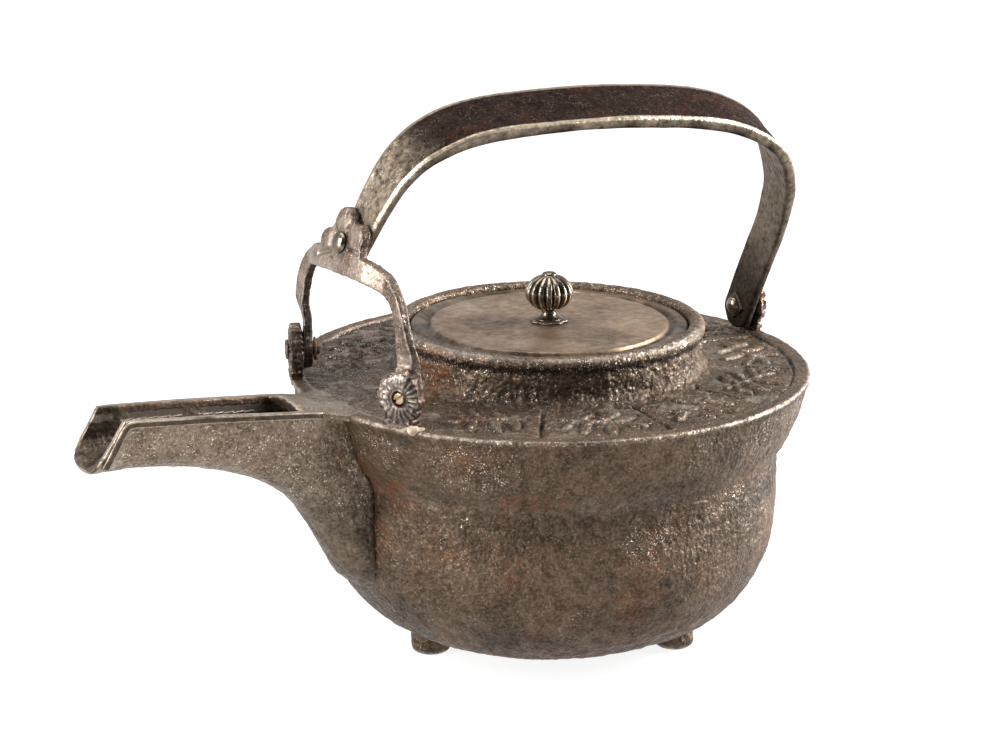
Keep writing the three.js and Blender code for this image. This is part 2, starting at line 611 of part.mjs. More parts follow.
const shell = solid(turned(bodyProfile())).subtract(solid(spoutPort()));
add('kettle_body', LUGS.reduce((body, lug) => body.subtract(lugPocket(lug)), shell), IRON);
add('spout', spoutSolid(bodyOuter), IRON);
add('foot_front', foot(180, bodyOuter), IRON);
add('foot_rear_left', foot(60, bodyOuter), IRON);
add('foot_rear_right', foot(-60, bodyOuter), IRON);
LUGS.forEach((lug) => add(lug.name, lugSolid(lug), IRON));
add('yoke', yokeSolid(), FORGED);
add('yoke_screw', yokeScrew(), BRASS);
add('yoke_pin', yokePin(), FORGED);
add('yoke_pin_washer', yokePinWasher(), FORGED);
add('strap_handle', strapSolid(), PATINA);
add('front_rivet', frontRivet(), FORGED);
add('front_rivet_washer', frontRivetWasher(), FORGED);
add('rear_rivet', rearRivet(), FORGED);
add('rear_rivet_washer', rearRivetWasher(), FORGED);
add('lid', turned(lidProfile()), LID_IRON);
add('knob', knob(), BRONZE);
add('knob_flower_washer', ring(FLOWER_RADIUS, LID_HOLE_RADIUS, FLOWER_THICK)
  .translate(0, 0, LID_CROWN_Z + GAP), FORGED);
add('knob_inner_washer', ring(4.5, LID_HOLE_RADIUS, WASHER_THICK)
  .translate(0, 0, LID_BOTTOM_Z - GAP - WASHER_THICK), FORGED);

// The origin lies midway between the spout's lip and the far rim, on the floor.
kettle.position.x = (SPOUT_REACH - RIM_RADIUS) / 2;
kettle.updateMatrixWorld(true);

export default kettle;
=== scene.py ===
import math

import bpy
import numpy as np
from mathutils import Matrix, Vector


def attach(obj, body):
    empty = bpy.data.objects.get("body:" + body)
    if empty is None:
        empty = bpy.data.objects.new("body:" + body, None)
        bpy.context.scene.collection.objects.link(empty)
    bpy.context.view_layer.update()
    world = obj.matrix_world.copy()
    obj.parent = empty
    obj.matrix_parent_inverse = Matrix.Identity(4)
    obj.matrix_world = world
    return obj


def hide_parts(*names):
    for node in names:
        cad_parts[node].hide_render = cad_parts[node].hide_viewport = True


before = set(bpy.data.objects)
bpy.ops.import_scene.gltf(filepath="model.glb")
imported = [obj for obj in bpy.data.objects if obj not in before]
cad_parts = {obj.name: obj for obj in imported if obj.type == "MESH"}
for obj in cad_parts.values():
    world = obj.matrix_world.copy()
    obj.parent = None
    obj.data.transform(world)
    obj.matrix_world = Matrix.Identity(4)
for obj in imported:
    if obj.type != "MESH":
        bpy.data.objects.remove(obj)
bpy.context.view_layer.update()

# ---------- sizes in millimetres, as in the CAD ----------
SHIFT_X = 40.5                  # from the middle of the object's box to the kettle's axis
GAP = 0.3                       # between one piece and the next
SHOULDER = 90.0                 # height of the shoulder
RIM = 85.0                      # radius of the shoulder's edge
BORDER = 4.6                    # width of the raised border inside the edge
WAIST = 75.0                    # radius of the belly and the waist above it
BELT_Z = SHOULDER - 40          # height where the belly turns inwards
BOTTOM = 2.5                    # height of the underside
WALL = 3.0
NECK = 49.6
LIP = 50.6
LIP_TOP = SHOULDER + 15.7
SEAT = 45.8                     # radius of the recess that the lid drops into
SEAT_Z = SHOULDER + 11.4
MOUTH = 41.0
LID_R = 45.3
LID_LOW = SEAT_Z + GAP
LID_TOP = LID_LOW + 2.4
LID_DISC = 38.6                 # radius of the lid's raised middle
KNOB_R = 7.8
KNOB_HALF = 6.1                 # half the height of the knob's ball
KNOB_Z = SHOULDER + 24.2
REAR_PIN = np.array([76.4, 0.0, SHOULDER + 9.4])
FRONT_PIN = np.array([-77.0, 0.0, SHOULDER + 50.5])
HEAD_FRONT = 159.3              # face of the yoke under the front rivet's head, from the rear rivet
LEAN = math.radians(24)         # of the strap at rest, towards -y
STRAP_THICK = 3.2
GRIP_THICK = 4.1
LUG_THICK = 4.2
FEET_CIRCLE = 46
SHANK = 1.95                    # radius of the rivets' and pins' shanks
WASHER_HOLE = 2.25
WASHER_THICK = 0.9


# ---------- noise and masks ----------
RNG = np.random.default_rng(41)
CELLS = 48
LATTICE = RNG.random((CELLS, CELLS, CELLS)) * 2 - 1
TILT = np.linalg.qr(RNG.normal(size=(3, 3)))[0]     # turns the lattice away from the axes


def noise(points, size, shift=0.0):
    """Smooth value noise from -1 to 1 with features of the given size."""
    q = points @ TILT / size + shift * 7.31
    cell = np.floor(q).astype(int)
    f = q - cell
    f = f * f * (3 - 2 * f)
    low = cell % CELLS
    high = (cell + 1) % CELLS
    total = np.zeros(len(q))
    for dx, ix in ((0, low[:, 0]), (1, high[:, 0])):
        for dy, iy in ((0, low[:, 1]), (1, high[:, 1])):
            for dz, iz in ((0, low[:, 2]), (1, high[:, 2])):
                weight = (np.abs(1 - dx - f[:, 0]) * np.abs(1 - dy - f[:, 1])
                          * np.abs(1 - dz - f[:, 2]))
                total += weight * LATTICE[ix, iy, iz]
    return total


def fractal(points, size, octaves=3, shift=0.0):
    """Noise with finer and weaker noise added to it."""
    total = np.zeros(len(points))
    strength = 1.0
    for k in range(octaves):
        total += strength * noise(points, size / 2.1 ** k, shift + 3.7 * k)
        strength *= 0.55
    return total


def ramp(x, low, high):
    """0 up to low and 1 from high, with a smooth rise between."""
    t = np.clip((x - low) / (high - low), 0, 1)
    return t * t * (3 - 2 * t)


def bell(x, centre, width):
    """1 at the centre, falling off on both sides."""
    return np.exp(-((x - centre) / width) ** 2)


def blob(points, centre, radius):
    """1 at the centre, falling to 0 at the radius."""
    d = np.linalg.norm((points - np.array(centre)) / np.array(radius), axis=1)
    return 1 - ramp(d, 0.25, 1.0)


def spots(points, places):
    """Blobs of (centre with its height above the shoulder, radii, strength), added up."""
    return sum(strength * blob(points, (x, y, SHOULDER + z), radii) for (x, y, z), radii, strength in places)


def table(pairs, x):
    return np.interp(x, [p[0] for p in pairs], [p[1] for p in pairs])


# ---------- meshes: points in millimetres, and groups of quads and triangles ----------
def place(points):
    return (np.asarray(points) + np.array([SHIFT_X, 0, 0])) * 0.001


def in_scene(name, data):
    obj = bpy.data.objects.new(name, data)
    bpy.context.scene.collection.objects.link(obj)
    return obj


def mesh_object(name, points, groups):
    mesh = bpy.data.meshes.new(name)
    mesh.from_pydata(place(points).tolist(), [], [face for group in groups for face in group.tolist()])
    return in_scene(name, mesh)


def piece(name, points, groups, body, nodes, slot, material, **layers):
    """A finished piece that rides on a body, stands for CAD nodes, and carries its material's layers."""
    obj = mesh_object(name, points, groups)
    obj.data.update()
    obj.data.shade_smooth()
    if nodes:
        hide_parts(*nodes)
    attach(obj, body)
    obj.data.materials.append(material)
    # layers: wear and painted highlights, rust and a painted reflection, bright specks and painted glints, soot
    # and painted shade
    for key in ("wear", "rust", "spark", "soot"):
        values = np.clip(layers.get(key, 0), 0, 1) * np.ones(len(points))
        layer = obj.data.attributes.new(key, "FLOAT", "POINT")
        layer.data.foreach_set("value", values.astype(np.float32))


def polar(points):
    """Distance from the kettle's axis, and angle about it."""
    return np.hypot(points[:, 0], points[:, 1]), np.arctan2(points[:, 1], points[:, 0])


def normals_of(points, groups):
    total = np.zeros_like(points)
    for group in groups:
        a, b, c = points[group[:, 0]], points[group[:, 1]], points[group[:, 2]]
        n = np.cross(b - a, c - a)
        if group.shape[1] == 4:
            n = n + np.cross(c - a, points[group[:, 3]] - a)
        for k in range(group.shape[1]):
            np.add.at(total, group[:, k], n)
    return total / np.maximum(np.linalg.norm(total, axis=1, keepdims=True), 1e-9)


def pushed(points, normals, move):
    """Points moved along their normals."""
    return points + normals * move[:, None]


def roughened(points, groups, size, pattern, strength):
    return pushed(points, normals_of(points, groups), fractal(points, size, 2, pattern) * strength)


def resample(profile, spacing):
    """The same line with points at even distances."""
    pts = np.array(profile, float)
    seg = np.linalg.norm(np.diff(pts, axis=0), axis=1)
    along = np.concatenate([[0], np.cumsum(seg)])
    count = max(2, int(round(along[-1] / spacing)) + 1)
    t = np.linspace(0, along[-1], count)
    return np.column_stack([np.interp(t, along, pts[:, k]) for k in range(pts.shape[1])])


def soften(profile, passes):
    """The same line with its corners rounded off."""
    pts = profile.copy()
    for _ in range(passes):
        pts[1:-1] = (pts[:-2] + 2 * pts[1:-1] + pts[2:]) / 4
    return pts


def tangents(line):
    tangent = np.gradient(line, axis=0)
    return tangent / np.linalg.norm(tangent, axis=1, keepdims=True)


def tube(rings, start=None, end=None):
    """Joins rings of equal count; a start or end point closes that end with a fan."""
    n, m = rings.shape[:2]
    points = rings.reshape(-1, 3)
    i = np.arange(n - 1)[:, None] * m
    j = np.arange(m)[None, :]
    k = (j + 1) % m
    groups = [np.stack([i + j, i + k, i + m + k, i + m + j], axis=-1).reshape(-1, 4)]
    last = (n - 1) * m
    for centre, a, b in ((start, k[0], j[0]), (end, last + j[0], last + k[0])):
        if centre is not None:
            groups.append(np.stack([np.full(m, len(points)), a, b], axis=-1))
            points = np.vstack([points, centre])
    return points, groups


def revolve(profile, columns):
    """Turns a profile of (r, z) about the axis; an end on the axis becomes a pole."""
    prof = np.array(profile, float)
    poles = [[0, 0, z] if r < 1e-6 else None for r, z in prof[[0, -1]]]
    rows = prof[(1 if poles[0] else 0):(-1 if poles[1] else None)]
    a = np.arange(columns) * 2 * math.pi / columns
    r, z = rows[:, 0:1], rows[:, 1:2]
    return tube(np.stack([r * np.cos(a), r * np.sin(a), z + 0 * a], axis=-1), *poles)


def loft(rings):
    rings = np.array(rings, float)
    return tube(rings, rings[0].mean(0), rings[-1].mean(0))


def joined(parts):
    """Several (points, groups) as one."""
    points, groups, offset = [], [], 0
    for pts, grps in parts:
        points.append(pts)
        groups.extend(g + offset for g in grps)
        offset += len(pts)
    return np.vstack(points), groups


def oriented(points, x_axis, y_axis, z_axis, origin):
    basis = np.column_stack([x_axis, y_axis, z_axis])
    return points @ basis.T + np.asarray(origin)


def remeshed(node, voxel_mm, smooth, extra=()):
    """A finer copy of a CAD node, with worn edges: (points, groups)."""
    obj = in_scene(node + "_work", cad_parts[node].data.copy())
    for points, groups in extra:
        other = mesh_object("extra", points, groups)
        with bpy.context.temp_override(active_object=obj, selected_editable_objects=[obj, other]):
            bpy.ops.object.join()
    remesh = obj.modifiers.new("voxel", "REMESH")
    remesh.mode = "VOXEL"
    remesh.voxel_size = voxel_mm * 0.001
    soft = obj.modifiers.new("soft", "SMOOTH")
    soft.iterations = smooth
    soft.factor = 0.5
    graph = bpy.context.evaluated_depsgraph_get()
    done = bpy.data.meshes.new_from_object(obj.evaluated_get(graph), depsgraph=graph)
    co = np.empty(len(done.vertices) * 3)
    done.vertices.foreach_get("co", co)
    points = co.reshape(-1, 3) * 1000 - np.array([SHIFT_X, 0, 0])
    faces = [p.vertices[:] for p in done.polygons]
    groups = [np.array(g) for g in ([f for f in faces if len(f) == sides] for sides in (4, 3)) if g]
    bpy.data.objects.remove(obj)
    return points, groups


# ---------- materials ----------
class Nodes:
    """Short calls for building a shader tree; each gives an output socket."""

    def __init__(self, tree, space):
        self.tree = tree
        self.coords = self.add("TexCoord", space, {})

    def add(self, kind, output, inputs, **settings):
        """A new node, its inputs linked to sockets or set to values."""
        node = self.tree.nodes.new("ShaderNode" + kind)
        for key, value in settings.items():
            setattr(node, key, value)
        for key, value in inputs.items():
            self.feed(value, node.inputs[key])
        return node.outputs[output]

    def feed(self, value, socket):
        if isinstance(value, bpy.types.NodeSocket):
            self.tree.links.new(value, socket)
        else:
            socket.default_value = value

    def noise(self, scale, detail, rough):
        return self.add("TexNoise", "Fac", {"Vector": self.coords, "Scale": scale, "Detail": detail,
                                            "Roughness": rough})

    def cells(self, scale):
        return self.add("TexVoronoi", "Distance", {"Vector": self.coords, "Scale": scale})

    def layer(self, name):
        return self.add("Attribute", "Fac", {}, attribute_name=name)

    def remap(self, value, low, high, to_low=0.0, to_high=1.0):
        return self.add("MapRange", "Result", {"Value": value, "From Min": low, "From Max": high,
                                               "To Min": to_low, "To Max": to_high})

    def math(self, operation, a, b):
        return self.add("Math", "Value", {0: a, 1: b}, operation=operation)

    def times(self, a, b):
        return self.math("MULTIPLY", a, b)

    def plus(self, a, b):
        return self.math("ADD", a, b)

    def mix(self, factor, a, b):
        a, b = ((*c, 1.0) if isinstance(c, tuple) else c for c in (a, b))
        return self.add("Mix", "Result", {"Factor": factor, "A": a, "B": b}, data_type="RGBA")

    def bump(self, height, distance, strength=1.0, below=None):
        inputs = {"Strength": strength, "Distance": distance, "Height": height}
        return self.add("Bump", "Normal", inputs if below is None else {**inputs, "Normal": below})


def aged_metal(name, dark, light, rust=(0.17, 0.065, 0.03), bright=(0.55, 0.49, 0.42), metallic=0.85,
               rough=(0.42, 0.62), grain=1000, bump=0.0003, pits=0.0002, contrast=1.0, patina=None):
    """Mottled iron: layers on the mesh steer its finish: wear with painted highlights, rust with a painted
    reflection, bright specks with painted glints, and soot with painted shade.
    """
    material = bpy.data.materials.new(name)
    material.use_nodes = True
    n = Nodes(material.node_tree, "Object")
    shader = n.tree.nodes["Principled BSDF"].inputs
    # colour: three sizes of mottling, then rust (in one place the tan of a painted reflection), soot and painted
    # shade, bright specks that are partly painted glints, and bare worn metal that is partly painted highlight
    big = n.remap(n.noise(38, 5, 0.62), 0.38, 0.63)
    mid = n.remap(n.noise(260, 5, 0.7), 0.38, 0.63)
    fine = n.remap(n.noise(grain, 3, 0.62), 0.5 - 0.17 / contrast, 0.5 + 0.17 / contrast)
    blend = n.plus(n.plus(n.times(big, 0.3), n.times(mid, 0.3)), n.times(fine, 0.4))
    colour = n.mix(blend, dark, light)
    # rust, and on the spout's far wall inside also the tan of a painted reflection
    rust_mask = n.times(n.layer("rust"), n.remap(n.noise(300, 6, 0.7), 0.4, 0.62))
    colour = n.mix(rust_mask, colour, rust)
    # soot, and painted shade where the pieces lay it
    soot = n.times(n.layer("soot"), n.remap(n.noise(170, 6, 0.65), 0.3, 0.6, 0.4, 1.0))
    colour = n.mix(soot, colour, tuple(c * 0.22 for c in dark))
    # bright specks: partly the iron's own grain, partly painted glints
    specks = n.remap(n.noise(1900, 2, 0.6), 0.585, 0.66)
    clumps = n.remap(n.noise(330, 3, 0.6), 0.42, 0.62, 0.12, 1.0)
    spark_mask = n.times(n.times(n.layer("spark"), specks), clumps)
    colour = n.mix(spark_mask, colour, tuple(min(1.0, c * 1.5) for c in bright))
    # bare worn metal, and painted highlights along some edges
    wear_mask = n.times(n.layer("wear"), n.remap(n.noise(520, 5, 0.65), 0.32, 0.56, 0.3, 1.0))
    n.feed(n.mix(wear_mask, colour, bright), shader["Base Color"])
    n.feed(metallic, shader["Metallic"])
    if patina is not None:      # a dull skin that turns to bare metal where it is worn
        n.feed(n.remap(wear_mask, 0.0, 0.6, patina, metallic), shader["Metallic"])
        n.feed(0.03, shader["Specular IOR Level"])
    # roughness: smoother where the metal is bare, rougher where it is rusty
    dull = n.remap(n.plus(n.times(mid, 0.5), n.times(fine, 0.5)), 0.2, 0.8, rough[1], rough[0])
    bare = n.math("MAXIMUM", wear_mask, spark_mask)
    mixed = n.add("Mix", "Result", {"Factor": bare, "A": dull, "B": 0.26})
    n.feed(n.plus(mixed, n.times(rust_mask, 0.2)), shader["Roughness"])
    # fine relief, rubbed down where it is worn
    keep = n.math("SUBTRACT", 1.0, n.times(n.layer("wear"), 0.75))
    relief = n.bump(n.times(n.noise(430, 5, 0.65), keep), bump)
    relief = n.bump(n.times(n.noise(grain, 3, 0.6), keep), bump * 0.5, 1.0, relief)
    relief = n.bump(n.times(n.cells(640), keep), pits, 0.8, relief)
    n.feed(relief, shader["Normal"])
    return material


IRON = aged_metal("iron_body", (0.021, 0.0135, 0.0085), (0.165, 0.116, 0.077), rough=(0.38, 0.64),
                  bump=0.0006, pits=0.0004, contrast=1.2)
LID_IRON = aged_metal("iron_lid", (0.13, 0.08, 0.047), (0.47, 0.33, 0.22), rough=(0.36, 0.52),
                      grain=420, bump=0.00006, pits=0.00003, contrast=0.8)
SPOUT_IRON = aged_metal("iron_spout", (0.07, 0.048, 0.032), (0.36, 0.28, 0.205), rough=(0.36, 0.56),
                        bump=0.00035, pits=0.0002, contrast=1.4)
POLISHED = aged_metal("iron_polished", (0.045, 0.032, 0.024), (0.2, 0.15, 0.11), bright=(0.66, 0.55, 0.42),
                      rough=(0.2, 0.34), bump=0.00006, pits=0.00004)
FORGED = aged_metal("iron_forged", (0.055, 0.038, 0.028), (0.31, 0.235, 0.182), rough=(0.38, 0.58),
                    bump=0.00025, pits=0.00016, contrast=1.4)
CRUST = aged_metal("iron_crust", (0.028, 0.022, 0.018), (0.27, 0.22, 0.185), rough=(0.28, 0.55),
                   bump=0.0004, pits=0.00025, contrast=1.5)
STRAP = aged_metal("strap_patina", (0.004, 0.0028, 0.0022), (0.026, 0.0145, 0.0105), bright=(0.54, 0.44, 0.33),
                   rust=(0.045, 0.0165, 0.009), rough=(0.44, 0.66), grain=760, bump=0.0003, pits=0.0003,
                   contrast=1.4, patina=0.02)
BRONZE = aged_metal("knob_bronze", (0.05, 0.036, 0.026), (0.17, 0.135, 0.1), bright=(0.6, 0.51, 0.4),
                    metallic=0.95, rough=(0.2, 0.34), bump=0.00005, pits=0.00003)
BRASS = aged_metal("brass_screw", (0.16, 0.1, 0.045), (0.5, 0.36, 0.18), bright=(0.8, 0.64, 0.4),
                   metallic=0.95, rough=(0.28, 0.45), bump=0.00006, pits=0.00004)
SCALE_CRUST = aged_metal("mineral_crust", (0.3, 0.22, 0.14), (0.7, 0.58, 0.44), metallic=0.2, rough=(0.6, 0.8),
                         bump=0.0002, pits=0.0002)


# ---------- kettle body ----------
PANELS = 12                     # between the radial grooves on the shoulder
PANEL_START = math.radians(-6)
PANEL_IN, PANEL_OUT = 53.5, 78.6
PANEL_MIDDLE = 66.5
# leaves of a sprig: (stalk end, tip, half width at the middle)
SPRIG = [((-11.0, -3.8), (9.0, 3.2), 0.4), ((-7.6, -2.8), (-11.6, 5.0), 1.1), ((-2.4, -0.8), (-6.2, 8.2), 1.15),
         ((3.4, 1.2), (1.8, 9.4), 1.1), ((-5.8, -2.1), (-0.4, -8.8), 1.1), ((0.2, 0.0), (7.4, -7.4), 1.1),
         ((8.0, 2.8), (13.2, 6.0), 0.95), ((5.4, 1.8), (12.8, -2.4), 0.95)]
# patches of bright specks on the body, partly painted glints
BODY_SPARKLE = [((-12, -73, -37), (11, 9, 8), 3.0), ((-76, -20, -8), (10, 16, 9), 2.6),
                ((-60, -50, -10), (18, 18, 12), 1.7), ((30, -76, -9), (12, 9, 8), 1.8),
                ((20, -70, -28), (12, 12, 7), 1.0), ((-59, -42, -30), (4, 5, 4), 1.8),
                ((50, -62, -6), (18, 18, 7), 1.6)]
BODY_RUST = [((-50, -8, 6), (8, 14, 12), 1.3), ((-76, -13, -18), (7, 6, 18), 1.2),
             ((-73, -23, -24), (8, 14, 9), 0.9), ((-45, -60, -22), (20, 14, 4), 0.8),
             ((-75, -16, -40), (8, 8, 14), 0.6), ((25, -70, -24), (20, 9, 5), 0.6)]
PORT_HALF, PORT_LOW, PORT_HIGH = 6.6, 77.6, 84.8    # opening into the spout


def wall_profile(inset, count):
    """Underside, belly, waist and the flare up to the rim."""
    a = np.linspace(math.pi / 2, 0, count)
    flat_radius, power = 25, 2 / 2.4
    r = flat_radius + (WAIST - flat_radius - inset) * np.cos(a).clip(0) ** power
    z = BELT_Z - (BELT_Z - BOTTOM - inset) * np.sin(a).clip(0) ** power
    t = np.linspace(0, 1, 40)[:, None]
    low = np.array([WAIST - inset, SHOULDER - 25.5])
    middle = np.array([WAIST + 7.5 - inset, SHOULDER - 14])
    high = np.array([RIM - 1.2 - inset, SHOULDER - 3 - inset * 0.6])
    flare = (1 - t) ** 2 * low + 2 * t * (1 - t) * middle + t ** 2 * high
    return np.vstack([np.column_stack([r, z]), flare])


def body_profile():
    """Outside from the underside's middle up to the lid's seat, and back down the inside."""
    outer = resample(np.vstack([[0, BOTTOM], wall_profile(0, 160), [RIM, SHOULDER - 1.6],
                                [RIM, SHOULDER - 0.6]]), 0.8)
    top = resample([
        (RIM, SHOULDER - 0.6), (RIM - 0.5, SHOULDER), (RIM - BORDER, SHOULDER),
        (RIM - BORDER - 0.35, SHOULDER - 1.3), (RIM - BORDER - 0.9, SHOULDER - 1.3),
        (RIM - BORDER - 1.3, SHOULDER - 0.7), (NECK + 5, SHOULDER + 0.4),
        (NECK + 2, SHOULDER + 1.2), (NECK + 0.4, SHOULDER + 3.0), (NECK, SHOULDER + 5),
        (NECK, LIP_TOP - 4.6), (LIP, LIP_TOP - 3.4), (LIP + 0.1, LIP_TOP - 1.4),
        (LIP - 0.7, LIP_TOP - 0.3), (LIP - 1.9, LIP_TOP), (SEAT + 1, LIP_TOP - 0.1),
        (SEAT, LIP_TOP - 1), (SEAT, SEAT_Z)], 0.42)
    inner = resample(np.vstack([
        [SEAT, SEAT_Z], [MOUTH, SEAT_Z], [MOUTH, SEAT_Z - 2], [NECK - WALL, SEAT_Z - 4.5],
        [NECK - WALL, SHOULDER - 2.9], wall_profile(WALL, 120)[::-1], [0, BOTTOM + WALL]]), 2.2)
    return np.vstack([soften(outer, 4)[:-1], soften(top, 2)[:-1], inner])


def along_segment(u, v, a, b):
    """How far along the segment a-b the point (u, v) lies, from 0 to 1, and its distance from it."""
    du, dv = b[0] - a[0], b[1] - a[1]
    t = np.clip(((u - a[0]) * du + (v - a[1]) * dv) / (du * du + dv * dv), 0, 1)
    return t, np.hypot(u - a[0] - t * du, v - a[1] - t * dv)


def leaf_distance(u, v, base, tip, half):
    """Distance of (u, v) outside a leaf that swells between its ends."""
    t, distance = along_segment(u, v, base, tip)
    return distance - half * (0.25 + 0.75 * np.sin(math.pi * np.clip(t * 0.9 + 0.05, 0, 1)) ** 0.8)


def shoulder_relief(points):
    """Radial grooves with a leaf sprig in each panel between them: height, groove and leaf masks."""
    r, angle = polar(points)
    width = 2 * math.pi / PANELS
    number = np.floor((angle - PANEL_START) / width)
    local = angle - PANEL_START - (number + 0.5) * width
    wobble = noise(points, 7, 31) * 0.9 + noise(points, 2.2, 35) * 0.3
    inside = ramp(r, PANEL_IN, PANEL_IN + 1.5) * (1 - ramp(r, PANEL_OUT - 1.4, PANEL_OUT))
    inside = inside * ramp(np.abs(np.abs(angle) - math.pi), 0.4, 0.55)      # none by the spout
    groove = (1 - ramp((width / 2 - np.abs(local)) * r + wobble * 0.4, 0.3, 0.9)) * inside
    u = local * r * np.where(number % 2 == 0, 1.0, -1.0) + wobble
    v = r - PANEL_MIDDLE + wobble
    sprig = np.minimum.reduce([np.full(len(points), 9.0)] + [leaf_distance(u, v, *leaf) for leaf in SPRIG])
    worn_down = ramp(fractal(points, 6, 2, 39), -0.9, 0.3)
    leaf = (1 - ramp(sprig, -0.1, 0.5)) * inside * (0.35 + 0.65 * worn_down)
    moat = bell(sprig, 1.0, 0.6) * inside
    return 0.7 * leaf - 1.05 * groove - 0.35 * moat, np.maximum(groove, 0.8 * moat), leaf


def kettle_body():
    profile = body_profile()
    columns = 900
    points, groups = revolve(profile, columns)
    r, angle = polar(points)
    z = points[:, 2]
    normals = normals_of(points, groups)
    # zones
    row = np.minimum(np.arange(len(points)) // columns, len(profile) - 3)
    seat_row = int(np.argmax(np.isclose(profile[:, 0], SEAT, atol=0.02) & (profile[:, 1] < SEAT_Z + 0.5)))
    outside = row < seat_row
    shoulder = outside & (z > SHOULDER - 1.6) & (z < SHOULDER + 2.2) & (r > NECK + 2)
    neck = outside & (z > SHOULDER + 1.0) & (r < NECK + 2.5)
    side = outside & ~shoulder & ~neck
    neck_wall = neck & (z < LIP_TOP - 4)
    worn_top = shoulder & (r < RIM - BORDER)
    # relief of the casting
    pebble = fractal(points, 2.6, 3) * 0.24 + noise(points, 1.1, 5) * 0.15
    lumps = fractal(points, 24, 2, 9) * 0.32
    arc = angle * RIM
    streaks = (fractal(np.column_stack([arc * 0.16, z * 1.25, r * 0.4]), 2.4, 2, 4) * 0.17
               + fractal(np.column_stack([arc * 0.02, z * 0.5, r * 0]), 1.5, 2, 6) * 0.16)
    plain = 1 - ramp(np.abs(np.abs(angle) - math.pi), math.radians(22), math.radians(34))
    level = shoulder & (r > 74) & (r < RIM - 0.5)
    points[:, 2] += np.where(level, (SHOULDER + 0.1 - z) * plain * ramp(r, 74, 77), 0)
    move = np.where(outside, pebble * (0.75 + 0.7 * neck_wall - 0.3 * (neck & ~neck_wall)) + lumps * 0.5, 0)
    move += np.where(side, streaks * (0.35 + 0.8 * bell(z, SHOULDER - 32, 12)) + lumps * 0.5, 0)
    move *= 1 - 0.35 * ramp(z, SHOULDER - 0.5, SHOULDER - 0.1) * (r > RIM - BORDER)
    top_noise = fractal(points * np.array([0.5, 1.0, 1.0]), 4, 3, 2) * 0.2
    carved, groove, leaf = (mask * shoulder for mask in shoulder_relief(points))
    move += np.where(shoulder & (r < RIM - BORDER - 1), top_noise + carved, 0)
    by_spout = (points[:, 0] < -60) & (np.abs(points[:, 1]) < 12) & ~shoulder
    points = pushed(points, normals, np.where(by_spout, np.minimum(move, 0.05), move))
    keep = []
    for group in groups:
        mid = points[group].mean(axis=1)
        in_port = ((mid[:, 0] < -60) & (np.abs(mid[:, 1]) < PORT_HALF) & (mid[:, 2] > PORT_LOW)
                   & (mid[:, 2] < PORT_HIGH))
        keep.append(group[~in_port])
    # wear on the edges, partly painted highlights; bright specks with painted glints; rust; soot with painted
    # shade
    patch = fractal(points, 9, 3, 12)
    rough_patch = fractal(points, 3, 3, 21)
    # lighter lines along the rim's edge, the border's edge and the lip: worn metal and painted highlights; a faint
    # lighter line round the waist
    edges = (0.6 * bell(np.hypot(r - RIM, z - (SHOULDER - 0.4)), 0, 0.65)
             + 0.5 * bell(np.hypot(r - (RIM - BORDER), z - SHOULDER), 0, 0.5)
             + 0.5 * bell(np.hypot(r - (LIP - 0.9), z - (LIP_TOP - 0.5)), 0, 0.9)
             + 0.1 * bell(z, SHOULDER - 24, 3))
    wear = edges * (0.55 + 0.45 * patch + 0.4 * rough_patch)
    wear += 0.16 * leaf * ramp(rough_patch, -0.4, 0.6)
    wear += 0.24 * worn_top * ramp(fractal(points, 5, 3, 44), 0.1, 0.9)
    spark = 0.16 + 0.3 * ramp(patch, 0.1, 0.9) + spots(points, BODY_SPARKLE) + 0.5 * shoulder
    spark += np.where(neck, 0.9 * ramp(z, SHOULDER + 8, SHOULDER + 11) + 0.3, 0)
    rust = 0.1 + 0.4 * ramp(fractal(points, 18, 3, 20), 0.1, 0.9) + spots(points, BODY_RUST)
    soot = 0.4 * bell(z, SHOULDER - 31, 7) * ramp(fractal(points, 14, 2, 30), -0.6, 0.4)
    soot += 0.42 * side * ramp(fractal(points, 20, 3, 33), -0.3, 0.9)
    soot += 0.5 * neck * bell(z, SHOULDER + 4, 4.5)
    # painted shade under the lip
    soot += 0.8 * (neck & (z > LIP_TOP - 5.4) & (z < LIP_TOP - 2.6))
    # painted shadow in the step inside the border
    soot += 0.8 * bell(r, RIM - BORDER - 0.7, 0.5) * (np.abs(z - SHOULDER) < 2.5) * (1 - plain)
    # painted shade in the grooves and round the leaves, and a painted darkening towards +y
    soot += worn_top * (0.1 + 0.15 * patch + 0.95 * groove - 0.12 * leaf + 0.55 * ramp(points[:, 1], -5, 32))
    soot = np.where(outside, soot, 0.85)
    piece("kettle_body_shell", points, keep, "kettle", ["kettle_body"], "cast_iron", IRON,
          wear=wear, spark=spark, rust=rust, soot=soot)


# ---------- spout ----------
# heights along the spout, from its lip to the body
SPOUT_RIM = [(-172, 100.6), (-157, 99.2), (-128, 96.3), (-107, 93.8), (-97, 92.6), (-90, 91.5), (-85.4, 90.2),
             (-60, 89.8)]
PORT_BOTTOM = SHOULDER - 13
# the roof that closes the channel by the body: half width, ridge, edge and underside along it
HOOD_FROM, HOOD_TO = -98.2, -76.5
HOOD_HALF = [(HOOD_FROM, 10.6), (-91, 12.0), (-84, 15.0), (HOOD_TO, 17.0)]
HOOD_RIDGE = [(HOOD_FROM, 94.3), (-93, 93.1), (-88, 91.9), (-82, 90.8), (HOOD_TO, 90.0)]
HOOD_EDGE = [(HOOD_FROM, 92.3), (-91, 91.3), (-84, 90.2), (HOOD_TO, 89.8)]
HOOD_UNDER = [(HOOD_FROM, 90.9), (-85.3, 88.2), (-84.9, 88.0)]


def spout_half(x):
    """Half the spout's width."""
    return 9.8 + 2.4 * (x + 166) / 80


